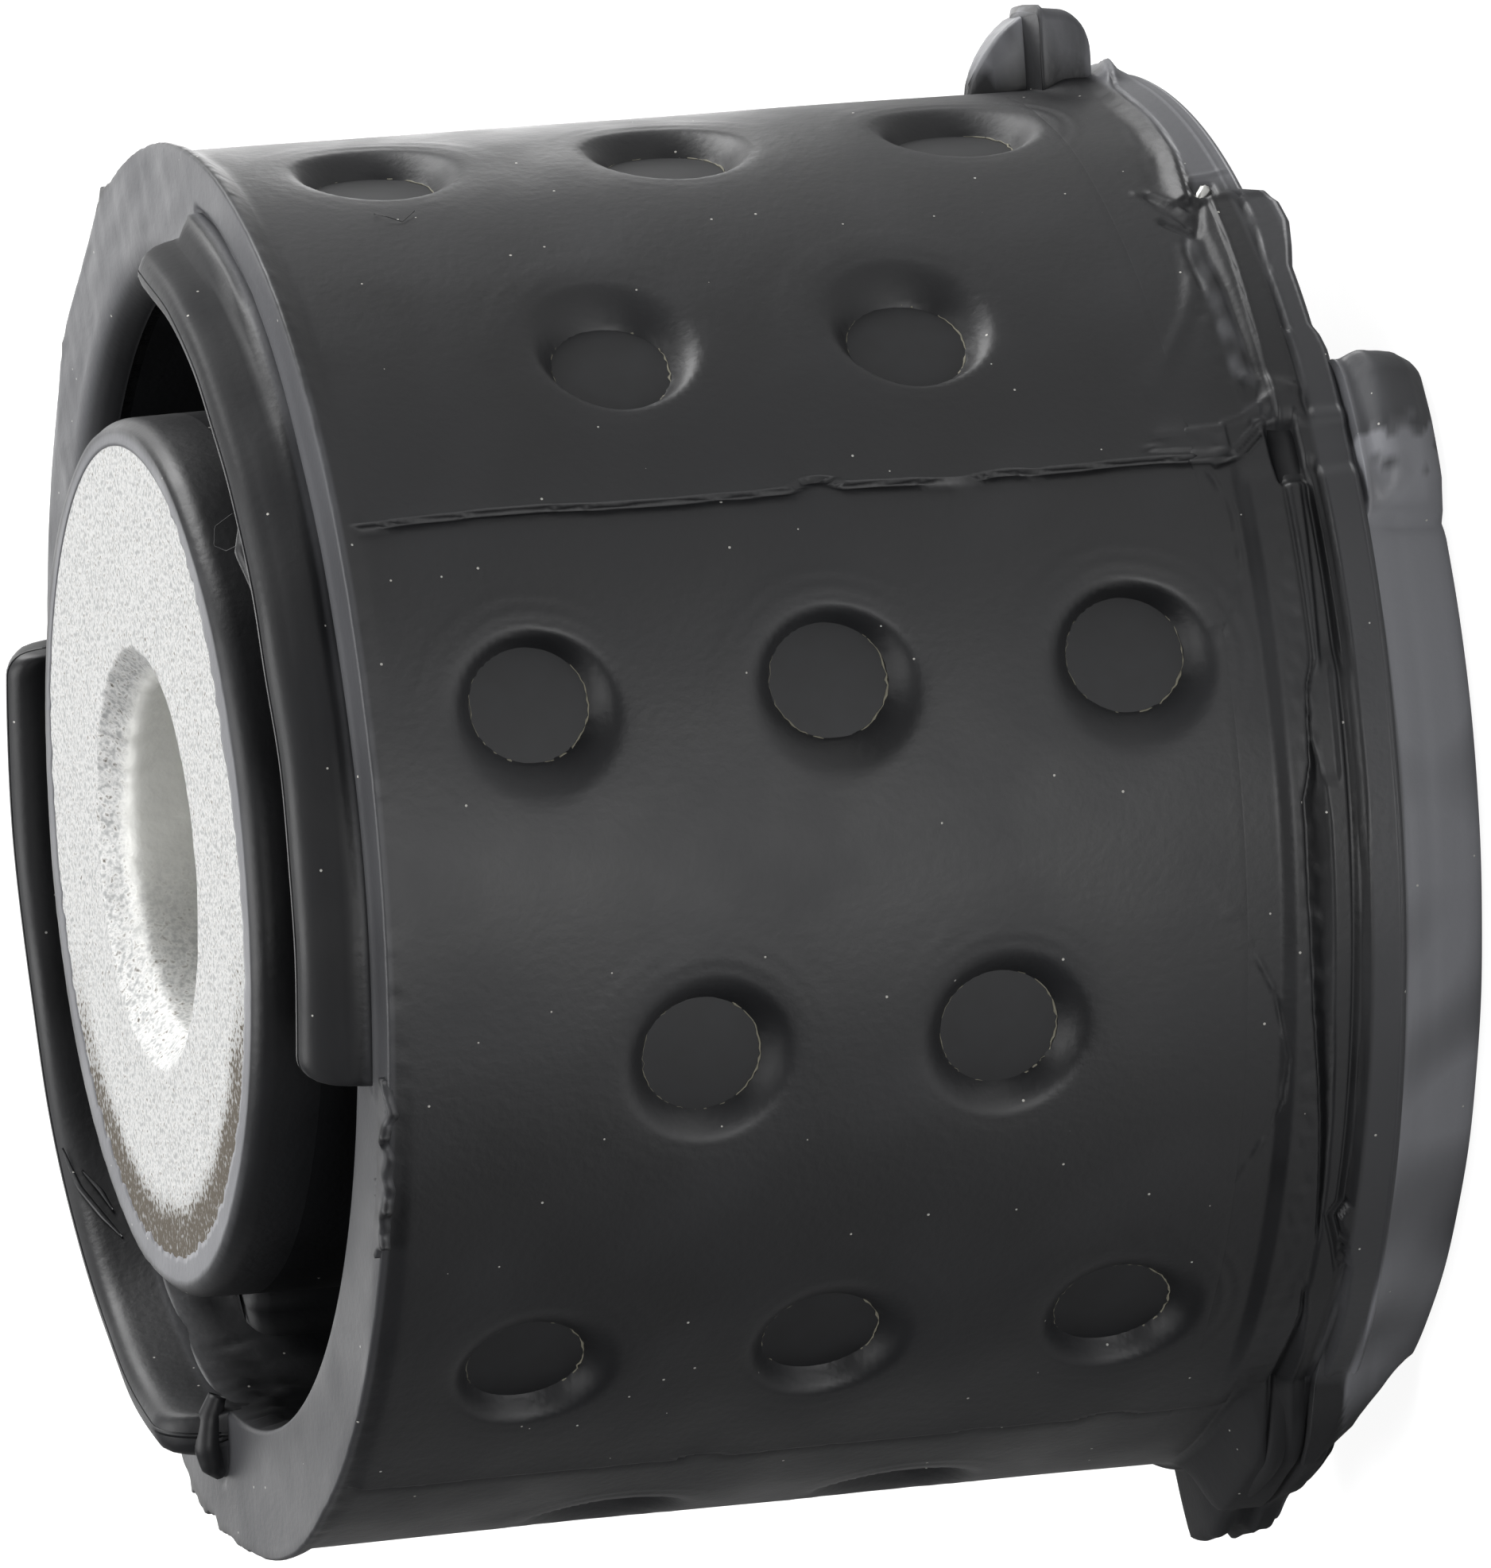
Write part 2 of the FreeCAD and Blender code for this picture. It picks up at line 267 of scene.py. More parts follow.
# %% Depth of the dimples
ROW_ANGLES = [10.2 + 30 * row for row in range(12)]
DIMPLE_MIDDLE, DIMPLE_PITCH = 27.5, 12.8
FLOOR_RADIUS, MOUTH_RADIUS = 2.5, 3.7
DIMPLE_REACH = 7.5
COAT_DEPTH = BODY - SLEEVE
SUNK = 0.3


def row_steps(row):
    """Places of a row's dimples along the axis: rows of three and of two take turns."""
    return (-1, 0, 1) if row % 2 == 0 else (-0.5, 0.5)


def dimple_depth(angle, z):
    """How far the coat goes down here, in millimetres: past the sleeve inside a floor."""
    depth = np.zeros(np.broadcast(angle, z).shape)
    for row, row_angle in enumerate(ROW_ANGLES):
        quarter = PARTING - 45 + 90 * round((row_angle - PARTING + 45) / 90)
        drawn = 1.15 * COAT_DEPTH * math.tan(math.radians(quarter - row_angle))
        across = np.radians(apart(angle, row_angle)) * BODY
        for step in row_steps(row):
            along = z - DIMPLE_MIDDLE - step * DIMPLE_PITCH
            reach = np.hypot(across, along)
            way = across / np.maximum(reach, 1e-6)
            lean = drawn * way - 0.12 * along / np.maximum(reach, 1e-6)
            side = np.maximum(MOUTH_RADIUS ** 2 - drawn ** 2 * (1 - way ** 2), 0)
            mouth = np.maximum(lean + np.sqrt(side), FLOOR_RADIUS + 0.55)
            climb = np.clip((reach - FLOOR_RADIUS) / (mouth - FLOOR_RADIUS), 0, 1)
            wall = COAT_DEPTH * (1 - climb) ** 1.5
            sunk = np.clip((FLOOR_RADIUS - reach) * 2, 0, SUNK)
            dish = 0.05 * bump(reach, mouth, 1.2)
            upper = 0.4 + 0.6 * ease(way, -0.5, 0.6)
            rings = upper * (0.05 * bump(reach, mouth + 0.7, 0.25)
                             + 0.035 * bump(reach, mouth + 1.4, 0.25))
            depth += np.where(reach < DIMPLE_REACH, wall + sunk + dish - rings, 0)
    return depth


print("dimples:", sum(len(row_steps(row)) for row in range(12)))

# %% [markdown]
# ## The parting lines
# The mould's four quarters met along these lines. Rubber crept into the joint, so the upper side
# keeps a lip and the lower side a sharp gutter. At the rear the line opens into a folded strap.

# %% Parting lines
seams = [PARTING + 90 * quarter for quarter in range(4)]


def seam_line(z, seam):
    """Angle of a parting line: straight, with small wanders and broken notches."""
    along = np.stack([z, np.full_like(z, seam), np.zeros_like(z)], -1)
    wander = 0.12 * ripple(along, 8.0, 11) + 0.03 * ripple(along, 1.6, 12)
    notch = 0.5 * np.maximum(ripple(along, 3.4, 13) - 1.1, 0)
    return seam - 0.3 + wander + notch


def seam_height(angle, z):
    """Raised lip on the upper side of each parting line, with a sharp gutter under it."""
    height = np.zeros(np.broadcast(angle, z).shape)
    for seam in seams:
        off = np.radians(apart(angle, seam_line(z, seam))) * BODY
        lip = 0.17 * np.exp(-np.maximum(off, 0) / 1.1) * ease(off, -0.02, 0.1)
        gutter = 0.3 * np.exp(np.minimum(off, 0) / 0.2) * fall(off, -0.02, 0.1)
        height += np.where(np.abs(off) < 8, lip - gutter, 0)
    return height * ease(z, 8.2, 9.2) * fall(z, 46.2, 47.0)


# %% [markdown]
# ## The rear rim's surface
# At the rear the sleeve has a flange under the rubber. On the near side the mould has left a
# trough, a groove that runs out in a V, a rib, a black parting line and a flat band. Towards the
# top a strip of flash is folded over the rim, and past a nick the rim is one plain step. Every
# line here is a list of (angle, z) points read off the photograph once the camera was known.

# %% Lines of the rim
GROOVE_LEFT = [(-41, 6.7), (-38, 6.85), (-30, 7.2), (-20, 7.75), (-10, 8.0), (-3, 8.0),
               (0, 7.6), (3, 7.55), (6, 7.4), (8, 7.12), (20, 7.08), (26, 7.0)]
GROOVE_RIGHT = [(-41, 6.65), (-30, 6.8), (-20, 6.95), (-5, 6.95), (-1, 7.1), (2, 7.5),
                (6, 7.35), (8, 6.95), (20, 6.85), (26, 6.8)]
RIBBON_LEFT = [(30, 6.6), (35, 6.55), (40, 6.45), (45, 6.3), (53, 6.15)]
RIBBON_RIGHT = [(30, 5.25), (35, 5.2), (41, 5.12), (46, 5.0), (53, 4.9)]
WEDGE_LEFT = [(-73, 5.5), (-70, 6.2), (-65, 6.75), (-60, 6.9), (-55, 6.8), (-50, 6.62),
              (-45, 6.95)]
WEDGE_RIGHT = [(-73, 5.4), (-70, 5.3), (-65, 5.65), (-60, 5.95), (-55, 6.05), (-50, 6.4),
               (-45, 6.9)]
TOP_CRACK = [(50, 7.1), (53.6, 6.95), (59.8, 6.48), (66.5, 6.38), (72.8, 6.46), (76.6, 6.35),
             (80, 6.0), (85, 5.4), (88, 5.1), (100, 5.0)]
CRACK = [(-76, 3.1), (-70, 4.0), (-66, 4.5), (-62, 4.7), (-57, 4.85), (-50, 4.97), (-45, 5.1),
         (-42, 5.5), (-39, 6.0), (-37.5, 5.6), (-20, 5.6), (0, 5.55), (26, 5.45)]
# Swellings and hollows: height, then low end, high end and softness along z and round the axis.
RIM_PADS = [(0.5, (5.2, 8.2, 0.7), (80, 103, 4)), (0.26, (5.4, 7.0, 0.35), (28.7, 31.2, 0.9)),
            (-0.45, (5.95, 7.15, 0.12), (22.8, 28.0, 0.4)),
            (-0.25, (5.8, 6.75, 0.15), (52.9, 54.4, 0.4))]
RIM_STROKES = [([(94, 5.0), (88, 5.05), (85, 5.4), (79, 6.1)], 0.28, 0.4),
               ([(32.6, 7.4), (31.8, 6.7), (31.4, 6.0), (30.8, 5.5)], 0.3, 0.12),
               ([(28.2, 5.7), (27.9, 6.4), (28.2, 7.0), (28.5, 7.6)], 0.16, 0.1),
               ([(55.3, 6.6), (55.6, 5.6), (56, 5.0)], 0.12, 0.08)]


# %% Steps and folds of the rim
def side_steps(a, z, rough, slow):
    """Trough, groove, rib, black parting line and flat band of the near side."""
    left, right, crack = line(a, GROOVE_LEFT), line(a, GROOVE_RIGHT), line(a, CRACK)
    ramp = (0.3 * fall(z, 8.4, 9.2) * ease(a, -70, -50)
            + 0.015 * rough * window(z, 7.2, 8.2, 0.2))
    depth = np.clip((z - right) / (left - right), 0, 1) * fall(z, left - 0.1, left + 0.1)
    groove = (-(0.58 - 0.45 * ease(a, 5, 9)) * depth * ease(a, -42, -40)
              - 0.14 * window(z, crack + 0.85, right, 0.1) * window(a, -1.5, 7.5, 0.8))
    rib = 0.1 * fall(z, right - 0.1, right + 0.02)
    parting = -0.24 * np.clip((z - crack) / 0.55, 0, 1) * fall(z, crack + 0.5, crack + 0.6)
    band = 0.24 * fall(z, crack - 0.12, crack) * (1 - 0.6 * fall(a, -70, -58))
    black = -(0.3 + 0.05 * slow) * bump(
        z, crack + 0.02 * slow, 0.06 + 0.03 * window(a, 7.5, 24, 1))
    low, high = line(a, WEDGE_RIGHT), line(a, WEDGE_LEFT)
    wedge = (-0.4 * np.clip((z - low) / (high - low), 0, 1) * fall(z, high - 0.1, high + 0.1)
             * window(a, -73, -47, 1.5))
    fold = 0.08 * bump(z, low, 0.14) * window(a, -70, -46, 3)
    shine = 0.12 * bump(z, crack - 0.28, 0.1) * window(a, -76, -54, 1)
    return ramp + groove + rib + parting + band + black + wedge + fold + shine


def folded_strip(a, z, rough, slow):
    """The strip of flash folded over the rim, from the parting line to the nick."""
    left, right = line(a, RIBBON_LEFT), line(a, RIBBON_RIGHT)
    ribbon = 0.17 * window(z, right, left, 0.06) + 0.07 * bump(z, left - 0.03, 0.07)
    pocket = (-(0.15 + 0.03 * slow) * np.clip((z - left) / (7.0 - left), 0, 1)
              * fall(z, 7.0, 7.6) * window(a, 34, 50, 3))
    patch = (0.01 * rough * window(z, 7.1, 8.0, 0.3)
             + 0.16 * fall(z, 8.0, 9.2 + 0.12 * (42 - a)) * window(a, 30, 44, 3)
             * ease(z, 6.9, 7.4))
    beyond = 0.36 * fall(z, right - 0.12, right - 0.02) + 0.19 * window(z, right, 7.0, 0.3)
    tear = -(0.06 + 0.2 * np.maximum(slow - 0.4, 0)) * bump(
        z, right - 0.02 + 0.02 * slow, 0.06)
    return ribbon + pocket + patch + beyond + tear


def upper_step(a, z, rough, slow):
    """The step past the nick, with a crack along its foot."""
    rise = line(a, TOP_CRACK)
    step = 0.42 * fall(z, rise, rise + 1.1) + 0.02 * slow * window(z, rise, rise + 1.6, 0.3)
    step += (-(0.14 + 0.05 * slow) * bump(z, rise + 0.05, 0.06)
             + 0.012 * rough * window(z, rise, rise + 1.4, 0.3))
    return step + 0.04 * bump(z, 5.2, 0.08)


def rim_height(a, z):
    """How far the rim stands out from the body; a goes from -180 to 180."""
    at = on_axis(a, BODY, z)
    rough, slow = ripple(at, 0.9, 52), ripple(at, 4.0, 53)
    near = ease(a, -78, -68) * fall(a, 52, 54)
    top = ease(a, 52.4, 53.2) * fall(a, 100, 108)
    height = (0.38 * fall(z, 6.9, 7.5) * (1 - near) * (1 - top)
              + side_steps(a, z, rough, slow) * ease(a, -76, -62) * fall(a, 22.5, 25.5)
              + folded_strip(a, z, rough, slow) * ease(a, 27, 29) * fall(a, 52.4, 53.2)
              + upper_step(a, z, rough, slow) * top)
    for amount, along, round_axis in RIM_PADS:
        height += amount * window(z, *along) * window(a, *round_axis)
    height += strokes(a, z, RIM_STROKES)
    gutter = window(z, 5.75, 6.3 + 0.03 * (22 - a), 0.12) * window(a, 8, 22.4, 1.5)
    flap = fall(z, 5.85, 5.95) * window(a, 24.5, 28.5, 0.8)
    to_ear = np.maximum(2.8 * ease(-a, 58, 68) - 0.4, 0) * window(a, -82, -50, 4)
    height += 0.36 * flap - 0.315 * gutter
    return height + 0.95 * to_ear * fall(z, 6.9, 8.4) * ease(z, 4.2, 5.2)


# %% [markdown]
# Outside the rim there are a few more marks of the moulding: the strap beside the parting line,
# folds that run from it, and the line where two fronts of rubber met as they filled the mould.
# The front edge isn't a true circle either: flash and wear move it in and out.

# %% Flow lines and folds of the body
FLOW = [(-8.8, 12.2), (-13.5, 10.6), (-18.3, 9.4), (-23.9, 8.75), (-27.5, 8.9), (-31, 9.5),
        (-35, 10.6), (-39.0, 12.4), (-40.2, 14.3), (-41.4, 16.3)]
SEAM_FLOW = [(24.2, 10.0), (22, 9.5), (20.6, 9.3), (16, 9.4), (12, 10.1), (9.5, 11.6)]
BODY_STROKES = [(FLOW[2:6], 0.09, -0.09),
                ([(28.5, 8.9), (29.0, 8.0), (30.2, 7.0)], 0.16, 0.1),
                ([(26.0, 8.7), (27.3, 8.0), (28.4, 7.3)], 0.16, 0.13),
                ([(25.0, 9.6), (26.2, 8.2), (27.6, 7.4)], 0.16, -0.16),
                ([(32, 11.6), (35.9, 10.3), (38.5, 9.4), (41.5, 8.7), (44.5, 8.2), (47, 8.0)],
                 0.35, 0.07),
                ([(42, 8.1), (43.4, 8.1), (46.5, 8.1), (48.5, 7.8)], 0.12, -0.08),
                ([(54.9, 9.1), (52.9, 8.35), (50.3, 7.7)], 0.15, 0.09),
                ([(54.2, 8.7), (52.0, 8.1), (50.0, 7.5)], 0.2, -0.16),
                ([(54.8, 8.4), (52.6, 7.6), (51, 7.2)], 0.18, 0.1),
                ([(50.6, 8.5), (49.4, 7.9), (48.6, 7.4), (50, 7.0), (52, 6.7)], 0.18, -0.16)]
FRONT_EDGE = [(-180, 0), (-150, 0), (-121, 0.3), (-119, 0.8), (-117.2, 0.75), (-115.8, 1.15),
              (-113.5, 1.0), (-112, 0.95), (-110, 0.6), (-108.6, 0.4), (-107.6, 0.78),
              (-106, 0.7), (-104, 0.5), (-100, 0.55), (-97, 0.42), (-91.7, 0.43),
              (-86.3, 0.37), (-80, 0.25), (-70, -0.12), (-38, -0.25), (-20, -0.05), (10, 0),
              (30, 0.25), (45, 0.42), (106, 0.42), (109, 0.75), (110.6, 0.6), (113.7, 0.3),
              (117, 0.14), (121, 0.1), (124, 0.2), (127.4, 0.4), (132, 0.6), (136, 0.2),
              (139, 0.12), (160, 0), (180, 0)]
JOINT = 10.6


def body_marks(a, z):
    """Folds, flow lines and the strap; a goes from -180 to 180."""
    rough = ripple(on_axis(a, BODY, z), 1.1, 54)
    strap = (window(z, 8.9, 12.3 + 0.4 * (27 - a), 0.12)
             * window(a, 26.1 + 0.12 * (z - 9), 28.4, 0.2))
    return (strokes(a, z, BODY_STROKES) + 0.17 * strap * (1 + 0.2 * rough)
            + stroke(a, z, FLOW, 0.13, 0.045) * (1 + 0.5 * rough)
            + stroke(a, z, SEAM_FLOW, 0.14, 0.035) * (1 + 0.6 * rough)
            - 0.06 * bump(z, 8.0 + 0.15 * rough, 0.3) * window(a, 30, 46, 3))


def body_radius(angle, z):
    """Radius of the whole outer side, from the rear rim to the front ring."""
    a = apart(angle, 0)
    at = on_axis(a, BODY, z)
    radius = BODY - dimple_depth(a, z) + seam_height(a, z) + 0.02 * ripple(at, 11.0, 3)
    flare = line(a, FRONT_EDGE)
    ragged = (0.012 + 0.05 * np.maximum(flare - 0.43, 0) / 0.2) * ripple(at, 0.8, 55)
    radius += (flare + ragged) * ease(z, 46.3, 47.3)
    if np.min(z) < JOINT:
        radius += rim_height(a, z) * fall(z, JOINT - 1, JOINT)
    return radius + body_marks(a, z)


# %% [markdown]
# ## The rubber coat
# The coat is the part that is pressed into the carrier. It is one closed ring: front face, outer
# side, and the wall of the cavity inside. Its points lie closer together where the photograph
# looks, at the dimples, and closest at the parting lines. The last row stops short of the first,
# or the ring would overlap itself and show a dark line.

# %% Angles of the coat's grid
def next_step(angle):
    """Distance in degrees to the next row of points."""
    near = -78 <= apart(angle, 0) <= 102
    if any(-1.3 < apart(angle, seam) < 1.5 for seam in seams):
        return 0.14 if near else 0.35
    if near:
        return 0.37 if any(abs(apart(angle, row)) < 8.5 for row in ROW_ANGLES) else 0.8
    return 0.6 if apart(angle, 122) ** 2 < 400 or apart(angle, -109) ** 2 < 144 else 1.5


rows = [-78.0]
while rows[-1] + next_step(rows[-1]) < 281.8:
    rows.append(rows[-1] + next_step(rows[-1]))
angles = np.array(rows)
print("angles round the body:", len(angles))

# %% The coat as one closed ring
COAT_REAR = 8.0
EDGE = 0.14
side_z = np.concatenate([[JOINT - 0.25, JOINT - 0.06], np.arange(JOINT, 46.3, 0.335),
                         np.arange(46.35, FACE - EDGE, 0.13)])
turn_steps = np.radians(np.linspace(0, 90, 5))
face_share = np.concatenate([np.linspace(0, 0.30, 6)[:-1], np.linspace(0.30, 0.66, 12)[:-1],
                             np.linspace(0.66, 1, 5)[:-1]])
inner_steps = np.radians(np.linspace(0, 90, 6))
STOP_MIDDLE, STOP_HALF = PARTING + 0.4, 48.0
STOP_FOOT, STOP_TOP_WIDTH = 27.2, 26.7
FOOT = [(-24, 27.15), (-10, 27.2), (10, 27.0), (20, 26.95), (35, 27.25), (50, 27.65),
        (60, 27.95), (75, 28.05)]


def inner_edge(angle):
    """Radius of the ring's inner edge: soft at the far top, crisp elsewhere."""
    return 0.25 + 1.5 * ease(angle, 66, 95) * fall(angle, 140, 162)


def face_height(a, radius):
    """Unevenness of the ring's face: a gutter and a low bead along each front stop."""
    at = on_axis(a, radius, FACE)
    height = 0.02 * ripple(at, 7.0, 5)
    for middle in (STOP_MIDDLE, STOP_MIDDLE + 180):
        off = apart(a, middle)
        share = fall(np.abs(off), STOP_HALF - 0.5, STOP_HALF + 0.8)
        foot = line(off + STOP_MIDDLE, FOOT)
        bead = 0.13 * bump(radius, foot + 0.85, 0.35) * fall(off + STOP_MIDDLE, 40, 62)
        height += share * (bead - 0.3 * bump(radius, foot + 0.12, 0.2))
    off = apart(a, 120)
    return height + 0.02 * ripple(at, 1.4, 56) * ease(off, -60, -30) * fall(off, 30, 60)


def coat_grid():
    """Radii and heights of the coat: side, round edge, face, inner edge and cavity."""
    a = angles[:, None]
    radius = body_radius(a, side_z[None, :])
    radius[:, 0] -= 0.12
    radius[:, 1] -= 0.01
    side = np.stack([radius, np.broadcast_to(side_z, radius.shape)])
    top = side[0][:, -1:]
    corner = np.stack([top - EDGE * (1 - np.cos(turn_steps)),
                       FACE - EDGE + EDGE * np.sin(turn_steps) + 0 * top])
    soft = inner_edge(angles)[:, None]
    outer = top - EDGE
    ring = outer + (CAVITY + soft - outer) * face_share[1:]
    sag = face_height(a, ring) * ease(outer - ring, 0, 0.6) * ease(ring - CAVITY - soft, 0, 0.6)
    face = np.stack([ring, FACE + sag])
    fillet = np.stack([CAVITY + soft * (1 - np.sin(inner_steps)),
                       FACE - soft * (1 - np.cos(inner_steps))])
    wall_z = (46.2, 45.7, 45.2, 44.7, 44.2, 43, 36, 28, 20, 12, COAT_REAR)
    inside = np.array([(CAVITY, z) for z in wall_z]
                      + [(26.0, COAT_REAR), (28.4, COAT_REAR), (28.5, JOINT - 0.3)])
    inside = np.broadcast_to(inside.T[:, None, :], (2, len(angles), len(inside))).copy()
    off = apart(a, -105)
    scuffed = (window(inside[1], 43.5, 46.5, 0.3) * (inside[0] < 25)
               * ease(off, -35, -25) * fall(off, 25, 40))
    scratches = np.abs(ripple(on_axis(a, inside[0], inside[1]), 1.6, 57))
    inside[0] -= 0.14 * scuffed * scratches
    return np.concatenate([side, corner, face, fillet, inside], 2)


grid = coat_grid()
rubber_coat = turned_ring("rubber_coat", angles, grid[0], grid[1])

# %% [markdown]
# The rim is a second closed ring with a finer grid. Both rings take their outer side from the
# same function, and each dips just under the other past their joint, so the joint can't be seen.

# %% The rear rim as one closed ring
rim_angles = np.concatenate([np.arange(-78, 62, 0.26), np.arange(62, 102, 0.5),
                             np.arange(102, 282, 1.0)])
REAR_EDGE = [(-180, 4.5), (-80, 4.5), (-76, 3.6), (-70, 2.9), (-66, 2.85), (-60, 3.0),
             (-50, 3.35), (-40, 3.6), (-20, 3.8), (0, 3.84), (20, 3.72), (34.5, 3.6),
             (36, 3.72), (37, 3.92), (43.5, 3.85), (46, 3.5), (49, 3.15), (51.5, 3.2),
             (52.8, 3.6), (53.3, 4.5), (180, 4.5)]
RIM_FINE = 5.6
REAR_ROUND = 0.25


def rim_grid():
    """Radii and heights of the rim: side, round rear edge and the inside out of sight."""
    a = apart(rim_angles, 0)[:, None]
    rear = np.minimum(line(a, REAR_EDGE), line(apart(a, 180), REAR_EDGE))
    fixed = np.concatenate([[JOINT + 0.25, JOINT + 0.06], np.arange(JOINT, RIM_FINE, -0.085)])
    fixed = np.broadcast_to(fixed, (len(a), len(fixed)))
    rest = RIM_FINE + (rear + REAR_ROUND - RIM_FINE) * np.linspace(0, 1, 13)[None, 1:]
    z = np.concatenate([fixed, rest], 1)
    radius = body_radius(a, z)
    radius[:, 0] -= 0.12
    radius[:, 1] -= 0.01
    last = radius[:, -1:]
    corner = np.stack([last - REAR_ROUND * (1 - np.cos(turn_steps)),
                       rear + REAR_ROUND - REAR_ROUND * np.sin(turn_steps)])
    inside = np.array([(29.0, 0), (27.0, 0), (CAVITY + 0.3, 0), (CAVITY, 0.3), (CAVITY, 1.5),
                       (CAVITY, 3.5), (27.0, 3.6), (28.4, 3.7), (28.5, 5.0)])
    inner_r = np.broadcast_to(inside[:, 0], (len(a), len(inside)))
    inner_z = rear + inside[None, :, 1]
    inner_z[:, -1] = JOINT + 0.3
    return np.concatenate([np.stack([radius, z]), corner, np.stack([inner_r, inner_z])], 2)


grid = rim_grid()
rear_rim = turned_ring("rear_rim", rim_angles[::-1], grid[0][::-1], grid[1][::-1])

# %% [markdown]
# ## The bump stops
# Two curved bars stand on the ring's inner edge and stop the car's body from hitting the carrier.
# A bar is one outline swept along an arc, with its top rounded down at both ends. Both have a
# low bead along the foot, and the near one a swelling where the mould was worn.

# %% Outlines and bars
def rounded_outline(corners, radii, steps=5, spacing=0.0):
    """A closed outline with a round at each corner, as points (radius, z)."""
    out = []
    count = len(corners)
    for i in range(count):
        here = np.array(corners[i], float)
        before = np.array(corners[i - 1], float) - here
        after = np.array(corners[(i + 1) % count], float) - here
        start = here + before / np.linalg.norm(before) * radii[i]
        end = here + after / np.linalg.norm(after) * radii[i]
        for t in np.linspace(0, 1, steps):
            out.append((1 - t) ** 2 * start + 2 * t * (1 - t) * here + t ** 2 * end)
    if spacing:
        dense = []
        for i, point in enumerate(out):
            step = out[(i + 1) % len(out)] - point
            parts = max(1, math.ceil(np.linalg.norm(step) / spacing))
            dense += [point + step * k / parts for k in range(parts)]
        out = dense
    return np.array(out)


def along_bar(start, end, cap, step):
    """Distances along a bar, closer together under its rounded ends, and its angles."""
    reach = math.radians(end - start) * BODY
    ease_in = cap * (1 - np.cos(np.radians(np.linspace(0, 90, 9))))
    middle = np.arange(cap, reach - cap, step)[1:]
    along = np.concatenate([[0.0], ease_in[1:], middle, reach - ease_in[::-1]])
    return along, reach, start + np.degrees(along / BODY)


def roundness(share):
    """Quarter circle: how far a rounded end is down, from 1 at its tip to 0 where it is full."""
    return 1 - np.sqrt(1 - (1 - share) ** 2)


# %% Front stops
CAP, FAR_CAP = 1.3, 2.5
front_outline = rounded_outline(
    [(CAVITY, FACE - 2), (STOP_FOOT, FACE - 2), (STOP_FOOT, FACE),
     (STOP_TOP_WIDTH + 0.05, LENGTH), (CAVITY + 0.25, LENGTH), (CAVITY, FACE)],
    [0.1, 0.1, 0.1, 1.0, 0.95, 0.1], 6, 0.22)


def front_stop(name, middle, seed):
    """A front stop; the far one is a little longer, and rounder at its lower end."""
    far = middle > 180
    longer = 2.2 if far else 0.6
    along, reach, turn = along_bar(middle - STOP_HALF, middle + STOP_HALF + longer, CAP, 0.4)
    cap_at = np.where((along > reach / 2) & far, FAR_CAP, CAP)
    near_end = np.clip(np.minimum(along, reach - along) / cap_at, 0, 1)
    drop = (cap_at * roundness(near_end))[:, None]
    radius, z = front_outline[None, :, 0], front_outline[None, :, 1]
    a = apart(turn, middle)[:, None] + STOP_MIDDLE
    flank = ease(radius, 26.2, 26.7)
    foot = line(a, FOOT) - STOP_FOOT
    bead = 0.5 + 0.25 * ease(a, 50, 66)
    grown = radius + flank * foot * fall(z, FACE + bead - 0.1, FACE + bead + 0.1)
    if far:
        tip = roundness(np.clip((reach - along) / 2.2, 0, 1))[:, None]
        grown = grown + 0.16 * flank - 0.9 * flank * tip
    else:
        worn = window(z, FACE + 0.2, FACE + 1.75, 0.25) * window(a, 16, 41, 3)
        grown = grown + flank * (0.11 * worn + 0.03 * window(z, FACE - 1, FACE + 1.2, 0.2))
    share = np.clip((z - FACE + 0.8) / (LENGTH - FACE + 0.8), 0, 1)
    z = z - drop * share
    closing = (0.3 * np.clip(1 - near_end * 5, 0, 1) ** 2 * (cap_at < 2))[:, None]
    grown = 26.0 + (grown - 26.0) * (1 - closing * 0.35)
    at = on_axis(turn[:, None], grown, z)
    grown = grown + 0.03 * ripple(at, 5.0, seed)
    z = z + 0.03 * ripple(at, 6.0, seed + 1) * share - closing * share
    return swept_bar(name, turn, grown, z)


front_stops = [front_stop("front_stop_near", STOP_MIDDLE, 21),
               front_stop("front_stop_far", STOP_MIDDLE + 180, 31)]

# %% [markdown]
# The rear stops are broader. Each has a square, proud end at the top and a ramp at its lower end,
# so that it can twist without tearing.

# %% Rear stops
STOP_TOP, STOP_LOW, RAMP = 33.2, -61.4, 6.0
STOP_ROOT, RAMP_RISE, LOW_SWELL = 5.0, 3.6, 2.3
PROUD = [(18, 0), (19.1, -0.25), (20.3, 0.8), (22.3, 1.5), (27, 1.9), (31, 1.95), (32.3, 1.8),
         (33.2, 1.5)]
SWELL = [(56, 0), (60, 0.25), (62, 0.55), (64, 0.85), (67, 1.1)]
FLANK_LINE = [(-65, 2.5), (-55, 2.85), (-45, 3.0), (-30, 3.15), (20, 3.2)]
rear_outline = rounded_outline(
    [(CAVITY, STOP_ROOT), (CAVITY, 0), (REAR_STOP, 0), (REAR_STOP + 0.75, 3.6),
     (REAR_STOP + 0.75, STOP_ROOT)], [0.1, 0.7, 0.35, 0.1, 0.1], 8, 0.2)


